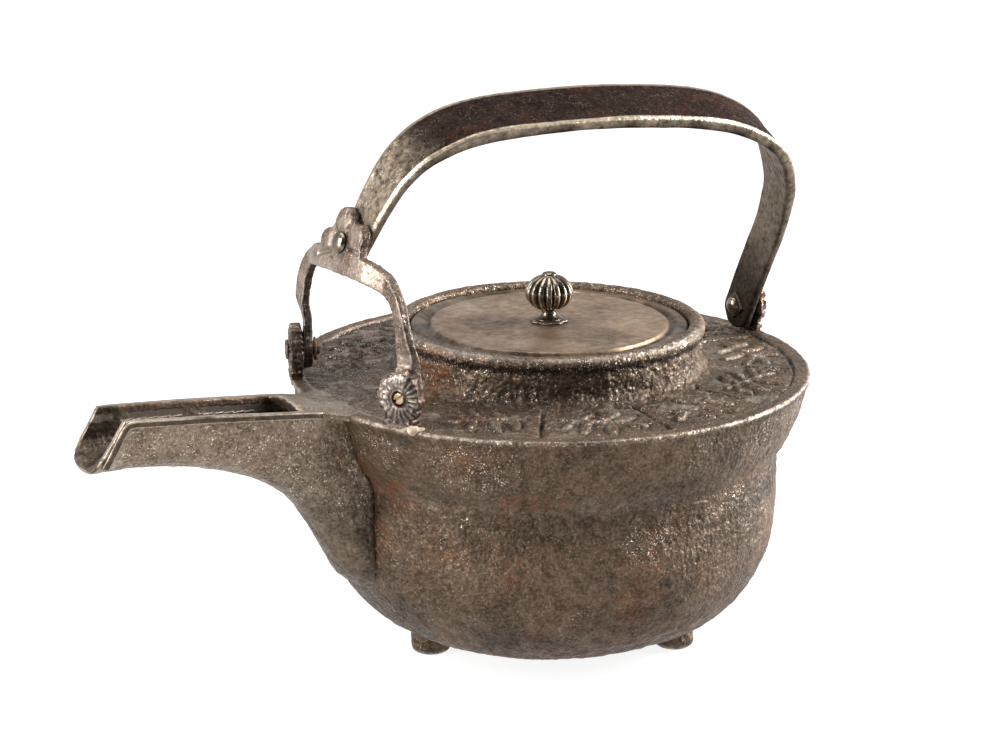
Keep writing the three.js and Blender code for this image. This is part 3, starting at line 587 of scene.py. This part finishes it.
def moulding(side):
    """A flat moulding round the outside of one spout wall, along its top and down to the lip."""
    run = [(x, table(SPOUT_RIM, x) - 1.15) for x in (-91.8, -97, -107, -118, -128, -142, -153.5)]
    path = run + [(-155.6, 97.6), (-157.2, 95.4), (-160.4, 90), (-163.2, 85.6)]
    path = soften(resample(path, 0.4), 6)
    half_y, half_n = 0.75, 1.1
    section = []
    for cy, cn in ((1, 1), (-1, 1), (-1, -1), (1, -1)):
        corner = [(cy * half_y, cn * (half_n - 0.3)), (cy * (half_y - 0.09), cn * (half_n - 0.09)),
                  (cy * (half_y - 0.3), cn * half_n)]
        section += corner if cy * cn > 0 else corner[::-1]
    section += [(half_y, half_n * share) for share in (-0.55, -0.4, 0.4, 0.55)]
    section = np.array(section)[::side]
    rings = []
    for (x, z), (tx, tz) in zip(path, tangents(path)):
        normal = np.array([tz, 0, -tx])
        rings.append(np.array([x, side * (spout_half(x) - 0.25), z]) + np.outer(section[:, 0], [0, side, 0])
                     + np.outer(section[:, 1], normal))
    points, groups = loft(rings)
    face = np.vstack([np.tile(section, (len(rings), 1)), [[0, 0], [0, 0]]])
    return points, groups, face


def hood():
    """Roof between the spout's mouldings that runs up on to the shoulder."""
    rings = []
    for x in np.linspace(HOOD_FROM, HOOD_TO, 28):
        half, ridge, edge, under = (table(t, x) for t in (HOOD_HALF, HOOD_RIDGE, HOOD_EDGE, HOOD_UNDER))
        y = np.linspace(-half, half, 25)
        rise = (ridge - edge) * np.clip(1 - (y / half) ** 2, 0, 1)
        low = np.minimum(edge + rise - 1.2, under + 0.7 * rise)
        upper = np.column_stack([np.full(25, x), y, edge + rise])
        lower = np.column_stack([np.full(25, x), y[::-1], low[::-1]])
        rings.append(np.vstack([upper, lower]))
    return loft(rings)


def spout():
    points, groups = remeshed("spout", 0.42, 4, [hood()])
    normals = normals_of(points, groups)
    x, y, z = points.T
    radial, _ = polar(points)
    # the root sinks a little into the body
    body_r = np.interp(z, *wall_profile(0, 160)[:, ::-1].T)
    root = (np.abs(radial - body_r) < 1.4) & (x < -55) & (z < SHOULDER - 1.5)
    inward = np.zeros_like(points)
    inward[:, :2] = -points[:, :2] / radial[:, None]
    points = pushed(points, inward, np.where(root, 0.55, 0))
    # zones
    keel = np.maximum(84.2 + (PORT_BOTTOM - 84.2) * (x + 165) / 85, 60)
    below_rim = table(SPOUT_RIM, x) - z
    inside = (np.abs(y) < spout_half(x) - 1.75) & (z > keel - 0.8) & (x < -84) & (normals[:, 2] > -0.6)
    inside &= ~((x > HOOD_FROM - 0.4) & (normals[:, 2] > 0.2) & (z > 90.6))
    rim = (below_rim < 0.9) & (x < -97) & ~inside
    lip = (x < -157) & ~inside
    roof = (x > -99) & (z > 89.4) & (normals[:, 2] > 0.3)
    far_streak = inside & (y > 0) & (below_rim < 4.6) & (below_rim > 2.2)
    far_wall = inside & (y > 0) & (x < -100)
    outside = ~inside & ~rim
    lumps = fractal(points, 9, 3, 3) * 0.14
    pebble = fractal(points, 2.4, 3, 8) * 0.13
    points = pushed(points, normals, np.where(outside, lumps + pebble, lumps * 0.3))
    patch = fractal(points, 7, 3, 14)
    wear = rim * (0.45 + 0.3 * patch) + 0.15 * lip + roof * (0.15 + 0.2 * patch)
    # painted reflection: a bright band along the far wall inside, under the rim
    wear += 0.95 * far_streak * ramp(patch, -0.9, 0.1)
    # painted shade inside the channel, darkest at the tip; the far wall is kept lighter as a painted reflection.
    # Outside, darker towards the root and the underside.
    soot = np.where(inside, 0.75 - 0.6 * far_wall - 0.15 * far_streak, 0.05)
    soot += outside * (0.35 * ramp(x - (z - 80) * 0.6, -112, -86) + 0.25 * ramp(72 - z, 0, 14))
    soot = np.maximum(soot, 0.95 * (inside & (x < -150)))
    # the far wall inside is browner: partly rust, partly the tan of a painted reflection
    rust = 0.1 + 0.25 * (rim | roof) + 0.35 * far_wall * (x > -148)
    rust += spots(points, [((-84, -12, -10), (8, 8, 18), 0.45)])
    spark = np.where(outside, 0.75 + 0.8 * ramp(patch, -0.3, 0.8), 0.1) * ramp(z, 48, 72)
    spark += spots(points, [((-112, -10, -2), (30, 10, 12), 0.7)])
    piece("spout_beak", points, groups, "kettle", ["spout"], "cast_iron", SPOUT_IRON,
          wear=wear, rust=rust, spark=spark, soot=soot)
    for side, name in ((-1, "spout_moulding_right"), (1, "spout_moulding_left")):
        points, groups, face = moulding(side)
        across, up = face.T
        patch = fractal(points, 6, 2, 15)
        # the bright line along the upper outer corner is worn metal and a painted highlight; the darker outer face
        # is painted shade
        wear = 0.9 * ((across > 0.4) & (up > 0.7)) * ramp(patch, -0.9, 0.2) + 0.5 * ((across > 0.6) & (up < -0.75))
        piece(name, points, groups, "kettle", [], "cast_iron", POLISHED, wear=wear, spark=0.1,
              soot=np.where((across > 0.6) & (np.abs(up) < 0.7), 0.7, 0.3), rust=np.where(across > 0.6, 0.1, 0.5))


# ---------- feet ----------
def feet():
    outline = [(0, 0.0), (4.6, 0.0), (5.9, 0.5), (6.5, 1.6), (6.6, 3.2), (6.4, 8.6), (0, 8.6)]
    for name, degrees in (("foot_front", 180), ("foot_rear_left", 60), ("foot_rear_right", -60)):
        points, groups = revolve(soften(resample(outline, 0.35), 4), 72)
        a = math.radians(degrees)
        points = points + FEET_CIRCLE * np.array([math.cos(a), math.sin(a), 0])
        move = (fractal(points, 3, 3, degrees) * 0.16 - 0.05) * ramp(points[:, 2], 0.2, 1.5)
        points = pushed(points, normals_of(points, groups), move)
        piece(name + "_stub", points, groups, "kettle", [name], "cast_iron", IRON,
              soot=0.25, rust=0.2, spark=0.3, wear=0.5 * bell(points[:, 2], 0.6, 0.7))


# ---------- lugs ----------
def lug_frame(at, face, radius):
    """Centre of a lug, and its directions across, up and outwards, from angles in degrees."""
    at, face = math.radians(at), math.radians(face)
    centre = np.array([-radius * math.cos(at), radius * math.sin(at), SHOULDER + 9])
    outward = np.array([-math.cos(face), math.sin(face), 0])
    up = np.array([0, 0, 1.0])
    return centre, np.cross(up, outward), up, outward


LUGS = {
    "lug_front_left": lug_frame(23.3, 26, 82.7),
    "lug_front_right": lug_frame(-23.3, -26, 82.7),
    "lug_rear": lug_frame(180, 180, 83.6),
}


def lugs():
    """Petalled plates: flutes from a plain ring to the edge, crusted over on the upper left."""
    for name, (centre, across, up, outward) in LUGS.items():
        points, groups = remeshed(name, 0.32, 4)
        normals = normals_of(points, groups)
        a, b = (points - centre) @ across, (points - centre) @ up
        rho = np.hypot(a, b)
        phi = np.arctan2(b, a)
        front = normals @ outward
        face = np.clip(np.abs(front), 0, 1)
        crusted = ramp(-a + 0.8 * b + 3 * fractal(points, 4, 2, 23), -1, 6)
        flutes = 0.5 * np.cos(20 * phi + 2.6 * np.sin(phi) + noise(points, 3, 27) * 1.2)
        flutes = 0.5 + flutes * (1 - 0.65 * crusted)
        round_off = 1.1 * ramp(rho, 5.2, 8.6) ** 2 * (b > -7)
        ribs = 0.55 * flutes * ramp(rho, 2.6, 4.2) * (b > -8.2)
        relief = (ribs - 0.4 * bell(rho, 2.9, 0.45) - 0.2 - round_off) * face
        side_ribs = 0.1 * flutes * (1 - face) * (b > -7)
        crust = fractal(points, 2.4, 3, 6) * (0.18 + 0.2 * crusted) + noise(points, 0.9, 2) * 0.12
        points = pushed(points, normals, relief + side_ribs + crust - 0.1)
        clumps = ramp(fractal(points, 3, 2, 7), -0.3, 0.6)
        wear = (0.12 + 0.3 * crusted) * (0.3 + 0.7 * flutes) * clumps * ramp(front, 0.2, 0.7)
        soot = 0.85 * (1 - ramp(flutes, 0.15, 0.6)) * ramp(rho, 2.8, 4) * (b > -8) * (1 - 0.6 * crusted)
        soot += 0.5 * ramp(a, 0.5, 5) * (1 - ramp(-front, 0, 1)) + 0.8 * (1 - ramp(rho, 2.4, 3.2))
        rust = 0.5 * ramp(-b, 4, 9) + 0.3 * ramp(fractal(points, 4, 2, 17), 0.2, 0.8) + 0.4 * (1 - face)
        piece(name + "_plate", points, groups, "kettle", [name], "cast_iron", CRUST,
              wear=wear, soot=soot, rust=rust, spark=0.8 * crusted)


def braze():
    """Pale crusted beads where the near lug meets the shoulder."""
    centre, across, _, outward = LUGS["lug_front_right"]
    ball = [(0, -1)] + [(math.cos(t), math.sin(t)) for t in np.linspace(-1.4, 1.4, 18)] + [(0, 1)]
    parts = []
    for a, out, size in ((5.6, 2.0, (2.3, 1.7, 1.5)), (6.8, 0.6, (1.6, 1.5, 0.9)), (3.4, 2.7, (1.7, 1.0, 0.7))):
        points, groups = revolve(ball, 36)
        seat = centre + across * a + outward * out
        points = points * np.array(size) + np.array([seat[0], seat[1], SHOULDER + 0.1])
        parts.append((roughened(points, groups, 1.6, 3, 0.3), groups))
    points, groups = joined(parts)
    piece("braze_beads", points, groups, "kettle", [], "brass", SCALE_CRUST,
          soot=0.2 * ramp(fractal(points, 1.5, 2, 5), -0.4, 0.5), rust=0.5)


# ---------- yoke ----------
LOBES = [(8.2, 140.0), (-7.7, 143.3), (1.2, 146.5)]     # middles of the trefoil's lobes: (y, z)
# creases between the lobes and under them
SEAMS = [((0, 141), (7.0, 146)), ((0, 141), (-4.8, 149)), ((5.0, 137.6), (11, 135.4)),
         ((-5.0, 139.6), (-10.6, 139.4))]


def yoke():
    points, groups = remeshed("yoke", 0.4, 6)
    normals = normals_of(points, groups)
    _, y, z = points.T
    forward = -normals[:, 0]
    lobes = np.minimum.reduce([np.hypot(y - cy, z - cz) for cy, cz in LOBES])
    head = ramp(z + 0.2 * y, 136.5, 139)
    seam = np.maximum.reduce([1 - ramp(along_segment(y, z, a, b)[1], 0.15, 1.1) for a, b in SEAMS])
    relief = 0.5 * (1 - ramp(lobes, 1.2, 4.4)) * head - 0.7 * seam * ramp(np.hypot(y, z - FRONT_PIN[2]), 3.6, 5)
    hammer = fractal(points, 7, 2, 8) * 0.16 + fractal(points, 1.8, 3, 4) * 0.1
    points = pushed(points, normals, relief * np.clip(np.abs(forward), 0, 1) + hammer)
    edge = ramp(np.abs(normals[:, 1]) * np.abs(normals[:, 0]), 0.25, 0.48)
    side = ramp(np.abs(normals[:, 1]), 0.7, 0.95)
    patch = fractal(points, 6, 3, 5)
    # painted shade on the sides and the back; darker in the creases between the lobes and in patches
    soot = 0.75 * side + 0.7 * ramp(normals[:, 0], 0.3, 0.8) + 0.8 * seam * head + 0.45 * ramp(patch, 0.0, 0.8)
    soot += 0.7 * bell(np.hypot(y, z - FRONT_PIN[2]), 4.0, 0.7) * (forward > 0.3)
    # lighter in patches on the front; the rounded edges are worn metal and painted highlights
    wear = 0.25 * ramp(forward, 0.4, 0.9) * ramp(-patch, -0.2, 0.6) + 0.9 * edge * ramp(patch, -0.6, 0.3)
    piece("yoke_arch", points, groups, "kettle", ["yoke"], "forged_iron", FORGED,
          wear=wear, soot=soot, rust=0.2 + 0.4 * ramp(SHOULDER + 14 - z, 0, 10), spark=0.5)


# ---------- strap handle ----------
# Positions along it are counted from the rear rivet towards the front one, and heights square to that.
AXIS = (FRONT_PIN - REAR_PIN) / np.linalg.norm(FRONT_PIN - REAR_PIN)
UPRIGHT = np.array([AXIS[2], 0, -AXIS[0]])
STRAP_UP = UPRIGHT * math.cos(LEAN) - np.array([0, 1, 0]) * math.sin(LEAN)
STRAP_ACROSS = np.array([0, 1, 0]) * math.cos(LEAN) + UPRIGHT * math.sin(LEAN)
STRAP_LINE = [(-6.1, -6.8), (-4.5, 0), (-2.3, 10), (-0.3, 21), (3.2, 37.6), (9.3, 52), (24.2, 66.2), (49, 71.8),
              (82, 67.6), (112, 59.8), (135.2, 51.4), (148.2, 41.2), (154.1, 30), (155.8, 17), (155.8, 0),
              (155.8, -7)]
# half width at each height
HALF_REAR = [(-6.8, 2.4), (-4, 6.4), (-2, 6.9), (45, 7.4), (66, 10.3), (72, 10.6)]
HALF_FRONT = [(-7, 3.2), (-4, 6), (0, 7), (20, 8.2), (42, 9.6), (58, 10.2), (72, 10.6)]
CHAMFER = 1.15                  # width of the bevel along the strap's upper edges


def spline(points, per_span=24):
    """Catmull-Rom curve through the points."""
    p = np.array(points, float)
    p = np.vstack([2 * p[0] - p[1], p, 2 * p[-1] - p[-2]])
    out = []
    for a, b, c, d in zip(p, p[1:], p[2:], p[3:]):
        t = np.linspace(0, 1, per_span, endpoint=False)[:, None]
        out.append(0.5 * (2 * b + (c - a) * t + (2 * a - 5 * b + 4 * c - d) * t ** 2
                          + (3 * b - a - 3 * c + d) * t ** 3))
    return np.vstack(out + [p[-2][None]])


def strap_section():
    """Cross-section: rows of share of the half width within the bevels, mm past it, and depth."""
    top = [(-1 + 2 * k / 22, 0, 0) for k in range(23)]
    right = [(1, CHAMFER * 0.5, 0.42), (1, CHAMFER, 0.85), (1, CHAMFER + 0.12, 1.4), (1, CHAMFER + 0.06, 2.3),
             (1, CHAMFER - 0.1, STRAP_THICK - 0.3), (1, CHAMFER - 0.5, STRAP_THICK)]
    under = [(1 - 2 * k / 14, 0, STRAP_THICK) for k in range(15)]
    left = [(-a, -b, d) for a, b, d in reversed(right)]
    return np.array(top + right + under + left).T


def strap():
    line = resample(spline(STRAP_LINE), 0.55)
    share, past, depth = strap_section()
    # the top is dished between two raised edges
    dished = (0.12 + 0.4 * (1 - ramp(np.abs(share), 0.84, 0.98))) * (depth == 0)
    deeper = np.clip(depth - 1.4, 0, None) / (STRAP_THICK - 1.4)
    rings = []
    for (s, h), (ts, th) in zip(line, tangents(line)):
        half = table(HALF_REAR if s < 75 else HALF_FRONT, h) - CHAMFER
        down = depth + deeper * (GRIP_THICK - STRAP_THICK) * ramp(h, 26, 54) + dished
        rings.append(REAR_PIN + np.outer(s + th * down, AXIS) + np.outer(h - ts * down, STRAP_UP)
                     + np.outer(share * half + past, STRAP_ACROSS))
    points, groups = loft(rings)
    middle_of_top = len(share) * 300 + 11
    if normals_of(points, groups)[middle_of_top] @ STRAP_UP < 0:
        groups = [g[:, ::-1] for g in groups]
    normals = normals_of(points, groups)
    # the same values for every point, the middles of the two ends last
    station = np.concatenate([np.repeat(line[:, 0], len(share)), line[[0, -1], 0]])
    share, past, depth = (np.append(np.tile(np.abs(v), len(rings)), [1, 1]) for v in (share, past, depth))
    on_top = (depth < 0.01) & (past < 0.01)
    bevel = (past > 0.1) & (depth < 0.9)
    edge = (depth >= 0.85) & (depth < STRAP_THICK - 0.1) & (past > 0.1)
    under = depth >= STRAP_THICK - 0.05
    move = fractal(points, 26, 2, 3) * 0.22 + fractal(points, 5, 2, 5) * 0.06
    points = pushed(points, normals, move + on_top * fractal(points, 1.7, 3, 6) * 0.06)
    patch = fractal(points, 8, 3, 2)
    streak = fractal(points, 1.4, 3, 41)
    height = (points - REAR_PIN) @ STRAP_UP
    low_rear = ramp(34 - height, 0, 26) * (station < 60)
    front_worn = (1 - ramp(height + 3 * patch, 22, 44)) * (station > 75)
    # bright lines along both upper edges and the bevels: worn metal, partly a painted highlight
    wear = on_top * (0.5 * front_worn * (0.7 + 0.6 * streak) + ramp(share, 0.93, 1.0) * 0.8)
    wear = np.where(bevel, 1.0, wear)
    wear = np.where(edge, 0.36 + 0.25 * patch - 0.25 * ramp(depth, 1.6, STRAP_THICK), wear)
    wear = np.where(under, 0.22 + 0.05 * patch, wear) * (1 - 0.85 * low_rear)
    soot = np.where(under, 0.5 * low_rear, 0.25 * low_rear)
    soot += 0.45 * on_top * (1 - front_worn) * ramp(streak, -0.5, 0.5)
    rust = np.where(on_top, 0.75 * ramp(patch, -0.3, 0.6) * (1 - front_worn), 0.05)
    piece("strap_handle_band", points, groups, "handle", ["strap_handle"], "strap_patina", STRAP,
          wear=wear, soot=soot, rust=rust, spark=np.where(on_top, 0.12 + 0.5 * front_worn, 0.05))


# ---------- rivets, screw, pin and washers ----------
def facing(direction):
    """Two directions square to the given one, and that one."""
    z = np.array(direction, float)
    z /= np.linalg.norm(z)
    x = np.cross([0, 0, 1.0], z)
    x /= np.linalg.norm(x)
    return x, np.cross(z, x), z


def turned_piece(name, node, profile, seat, direction, material, rough=0.06, **layers):
    """A turned piece of the kettle; soot may be given as a function of the height over its seat."""
    points, groups = revolve(soften(resample(profile, 0.16), 2), 64)
    points = roughened(points, groups, 1.8, len(name), rough)
    points = oriented(points, *facing(direction), seat)
    height = (points - np.asarray(seat)) @ facing(direction)[2]
    layers = {key: (value(height) if callable(value) else value) for key, value in layers.items()}
    piece(name, points, groups, "kettle", [node], "forged_iron", material, **layers)


def dome(radius, height, shank, tail=None):
    """Profile of a rivet: its domed head above 0 and its shank below, hammered out to a tail if one is given."""
    arc = [(radius * math.cos(t), height * math.sin(t)) for t in np.linspace(0, math.pi / 2, 12)]
    arc[-1] = (0, height)
    end = [(SHANK - 0.35, -shank - 1), (SHANK, -shank - 0.6)]
    if tail:
        end = [(tail - 0.5, -shank - 1), (tail, -shank - 0.5), (tail, -shank), (SHANK, -shank)]
    return [(0, -shank - 1)] + end + [(SHANK, 0), (radius, 0)] + arc


def ring_piece(name, node, body, outer, thick, seat, direction, hole=WASHER_HOLE, petals=0, **layers):
    """A washer, its edge cut into petals if any are given."""
    profile = [(hole, 0), (outer - 0.25, 0), (outer, 0.25), (outer, thick - 0.25), (outer - 0.25, thick),
               (hole, thick), (hole, 0)]
    points, groups = revolve(resample(profile, 0.2), 96)
    if petals:
        r, angle = polar(points)
        points[:, :2] *= (1 - 0.14 * (1 - np.abs(np.cos(petals * angle / 2))) * ramp(r, hole, outer))[:, None]
    points = roughened(points, groups, 1.6, 4, 0.05)
    points = oriented(points, *facing(direction), seat)
    piece(name, points, groups, body, [node], "forged_iron", FORGED, **layers)


def yoke_screw(seat, across, up, outward):
    """Brass screw with its slotted end level with the lug's face."""
    profile = [(0, 0), (2.8, 0), (3.6, 0.8), (3.6, 2), (1.9, 2), (1.9, 9.1), (1.6, 9.4), (0, 9.4)]
    points, groups = revolve(soften(resample(profile, 0.16), 1), 64)
    turn = math.radians(35)
    off_slot = np.abs(points[:, 0] * -math.sin(turn) + points[:, 1] * math.cos(turn))
    slot = (off_slot < 0.42) & (points[:, 2] > 8.8)
    points[:, 2] -= 0.75 * slot
    points = oriented(points, across, up, outward, seat)
    left = ramp(-(points - seat) @ across, -0.6, 1.2)
    piece("yoke_screw_slotted", points, groups, "kettle", ["yoke_screw"], "brass", BRASS,
          wear=0.25, soot=np.where(slot, 0.95, 0.25 + 0.65 * left), rust=0.4)


def fasteners():
    far_centre, _, _, far_out = LUGS["lug_front_left"]
    near_centre, near_across, near_up, near_out = LUGS["lug_front_right"]
    upward = (0, 1e-4, 1)       # tipped a hair, so that facing() has a direction to work from
    turned_piece("front_rivet_domed", "front_rivet", dome(3.5, 2.0, 8.7, 2.9),
                 REAR_PIN + AXIS * (HEAD_FRONT + GAP), AXIS, BRONZE, wear=0.12,
                 soot=lambda height: 0.5 * (height < 0.3), spark=0.2)
    turned_piece("rear_rivet_domed", "rear_rivet", dome(2.9, 1.8, 8.1), (75.9, 0, SHOULDER + 9), (-1, 0, 0),
                 BRONZE, wear=0.3, spark=0.2)
    pin = [(0, -10), (1.2, -10), (SHANK, -9.7), (SHANK, 0), (3.2, 0), (3.2, 0.6), (2.7, 1.0), (0, 1.05)]
    turned_piece("yoke_pin_flat", "yoke_pin", pin, far_centre + far_out * (LUG_THICK / 2 + GAP), far_out, FORGED,
                 rough=0.1, soot=0.5, rust=0.3)
    yoke_screw(near_centre + near_out * -7.7, near_across, near_up, near_out)
    ring_piece("yoke_pin_ring", "yoke_pin_washer", "kettle", 3.8, WASHER_THICK, far_centre - far_out * 6.6,
               far_out, rust=0.9)
    ring_piece("front_rivet_ring", "front_rivet_washer", "handle", 4.0, WASHER_THICK, REAR_PIN + AXIS * 151.4,
               AXIS, hole=2.6, soot=0.2)
    ring_piece("knob_flower_ring", "knob_flower_washer", "lid", 6.3, 0.75, (0, 0, LID_TOP + 0.45), upward,
               petals=8, wear=0.16, soot=0.35)
    ring_piece("knob_inner_ring", "knob_inner_washer", "lid", 4.5, WASHER_THICK,
               (0, 0, LID_LOW - GAP - WASHER_THICK), upward, rust=0.5)
    points, groups = remeshed("rear_rivet_washer", 0.16, 3)
    points = roughened(points, groups, 1.6, 4, 0.05)
    piece("rear_rivet_square", points, groups, "handle", ["rear_rivet_washer"], "forged_iron", STRAP,
          wear=0.15, soot=0.3)


# ---------- lid and knob ----------
def lid():
    top, low = LID_TOP, LID_LOW
    hole, ring_in, ring_out = 2.3, 38.4, 40.4       # the ring under the lid keeps it in the mouth
    upper = resample([
        (LID_R, low), (LID_R, top - 0.5), (LID_R - 0.5, top), (LID_DISC + 3.6, top + 0.05),
        (LID_DISC + 2.6, top - 0.5), (LID_DISC + 1.5, top - 1.15), (LID_DISC + 0.6, top - 0.8),
        (LID_DISC - 0.1, top + 0.35), (LID_DISC - 0.8, top + 0.55), (LID_DISC - 3.5, top + 0.45),
        (20, top + 0.45), (6, top + 0.4), (hole, top + 0.4)], 0.4)
    lower = resample([(hole, top + 0.4), (hole, low), (ring_in, low), (ring_in, low - 4), (ring_out, low - 4),
                      (ring_out, low), (LID_R, low)], 0.9)
    points, groups = revolve(np.vstack([soften(upper, 2), lower[1:]]), 480)
    normals = normals_of(points, groups)
    r, _ = polar(points)
    above = points[:, 2] > top - 1.5
    dents = fractal(points, 16, 2, 5) * 0.16 + fractal(points, 4, 2, 6) * 0.035
    fade = 1 - ramp(r, LID_R - 1.4, LID_R - 0.6)
    points = pushed(points, normals, np.where(above & (r > 2.6), dents * fade, 0))
    smudge = fractal(points, 20, 3, 8)
    moat = bell(r, LID_DISC + 1.4, 1.3)
    crest = bell(r, LID_DISC - 0.5, 0.45)
    left = ramp(-points[:, 0] + 0.4 * points[:, 1], -6, 34)
    # painted shade in the moat and on the left side; darker outside the disc, under the lid, in smudges and in a
    # patch by the knob
    soot = above * (0.9 * moat + left * (0.3 + 0.7 * ramp(r, LID_DISC - 2, LID_DISC + 1))
                    + 0.6 * ramp(r, LID_DISC, LID_DISC + 1.5))
    soot += 0.5 * ramp(smudge, 0.0, 0.8) + 0.5 * ~above + 0.4 * blob(points, (3, -5, top + 1), (13, 9, 6))
    # painted highlight along the disc's crest, stronger on the left; lighter wear along the outer edge
    wear = above * ((0.08 + 0.14 * left) * crest + 0.08 * bell(r, LID_R - 0.3, 0.5))
    piece("lid_plate", points, groups, "lid", ["lid"], "lid_iron", LID_IRON, soot=soot, spark=0.12,
          wear=wear + 0.22 * ramp(-smudge, 0.1, 0.8), rust=0.3 * ramp(fractal(points, 11, 3, 18), 0.1, 0.8))


def knob():
    foot = LID_TOP + 1.25
    tail = LID_LOW - 2 * GAP - WASHER_THICK
    crown = KNOB_Z + KNOB_HALF
    ribs_around = 16
    profile = [(0, tail - 1), (2.4, tail - 1), (2.9, tail - 0.3), (2.9, tail), (SHANK, tail), (SHANK, foot),
               (4.6, foot), (4.5, foot + 0.35), (3.4, foot + 0.8), (2.5, foot + 1.7), (2.3, foot + 2.7),
               (2.5, foot + 3.3)]
    profile += [(KNOB_R * math.cos(t), KNOB_Z + KNOB_HALF * math.sin(t))
                for t in np.radians(np.linspace(-66, 74, 44))]
    profile += [(2.4, crown - 0.1), (2.3, crown + 0.3), (1.4, crown + 0.7), (0, crown + 0.8)]
    points, groups = revolve(soften(resample(profile, 0.28), 2), 288)
    r, angle = polar(points)
    rise = (points[:, 2] - KNOB_Z) / KNOB_HALF
    on_ball = ramp(r, 2.6, 4.0) * (np.abs(rise) < 1.0) * (points[:, 2] > foot + 3)
    ribs = np.abs(np.sin(ribs_around * angle / 2))
    points[:, :2] *= (1 - 0.19 * (1 - ribs ** 0.55) * on_ball)[:, None]
    points = roughened(points, groups, 3, 4, 0.06)
    wear = 0.12 + 0.65 * ramp(ribs, 0.8, 1.0) * on_ball * ramp(fractal(points, 4, 2, 3), -0.6, 0.5)
    piece("knob_ribbed", points, groups, "lid", ["knob"], "knob_bronze", BRONZE,
          wear=wear, soot=0.95 * (1 - ramp(ribs, 0.15, 0.55)) * on_ball)


# ---------- stage, light and camera ----------
TOWARDS_CAMERA = (-0.547, -0.837, 0.0)


def stage_floor():
    """A pale sheet that glows with its own light, so that it stays white where the kettle's shadow falls and meets
    the white walls unseen.
    """
    size = 6.0
    mesh = bpy.data.meshes.new("floor")
    mesh.from_pydata([(-size, -size, 0), (size, -size, 0), (size, size, 0), (-size, size, 0)], [], [(0, 1, 2, 3)])
    obj = in_scene("floor", mesh)
    material = bpy.data.materials.new("floor_paper")
    material.use_nodes = True
    shader = material.node_tree.nodes["Principled BSDF"].inputs
    for key, value in (("Base Color", (0.2, 0.2, 0.2, 1)), ("Emission Color", (1, 1, 1, 1)),
                       ("Emission Strength", 0.88), ("Roughness", 0.9), ("Specular IOR Level", 0.1)):
        shader[key].default_value = value
    mesh.materials.append(material)


def surroundings():
    """White studio walls, dimmer overhead and on the side that the camera stands."""
    world = bpy.data.worlds.new("studio")
    bpy.context.scene.world = world
    world.use_nodes = True
    n = Nodes(world.node_tree, "Generated")
    towards = n.add("VectorMath", "Value", {0: n.coords, 1: TOWARDS_CAMERA}, operation="DOT_PRODUCT")
    height = n.add("SeparateXYZ", "Z", {"Vector": n.coords})
    background = n.tree.nodes["Background"].inputs
    n.feed(n.times(n.remap(towards, 0.05, 0.85, 1.15, 0.04), n.remap(height, 0.02, 0.4, 1.0, 0.42)),
           background["Strength"])
    background["Color"].default_value = (1, 1, 1, 1)


def area_light(name, position, target, power, size, size_y=None):
    light = bpy.data.lights.new(name, "AREA")
    light.energy = power
    light.size = size
    if size_y:
        light.shape = "RECTANGLE"
        light.size_y = size_y
    obj = in_scene(name, light)
    obj.location = position
    obj.rotation_euler = (Vector(target) - Vector(position)).to_track_quat("-Z", "Y").to_euler()


def camera():
    data = bpy.data.cameras.new("camera")
    data.lens = 95.95
    data.sensor_width = 36
    data.clip_end = 50
    obj = in_scene("camera", data)
    obj.location = place([-471.9, -693.1, 328.8])
    obj.rotation_euler = (math.radians(74.0), 0, math.radians(-33.16))
    bpy.context.scene.camera = obj


for build in (kettle_body, spout, feet, lugs, braze, yoke, strap, fasteners, lid, knob, stage_floor, surroundings):
    build()
area_light("overhead", (0.0, 0.2, 1.1), (0.03, 0, 0.1), 8, 0.8)
area_light("left", (-1.05, 0.15, 0.5), (0, 0, 0.08), 23, 0.5, 0.9)
area_light("right", (0.95, -0.35, 0.45), (0.05, 0, 0.08), 36, 0.35, 0.9)
camera()
bpy.context.scene.view_settings.view_transform = "Standard"
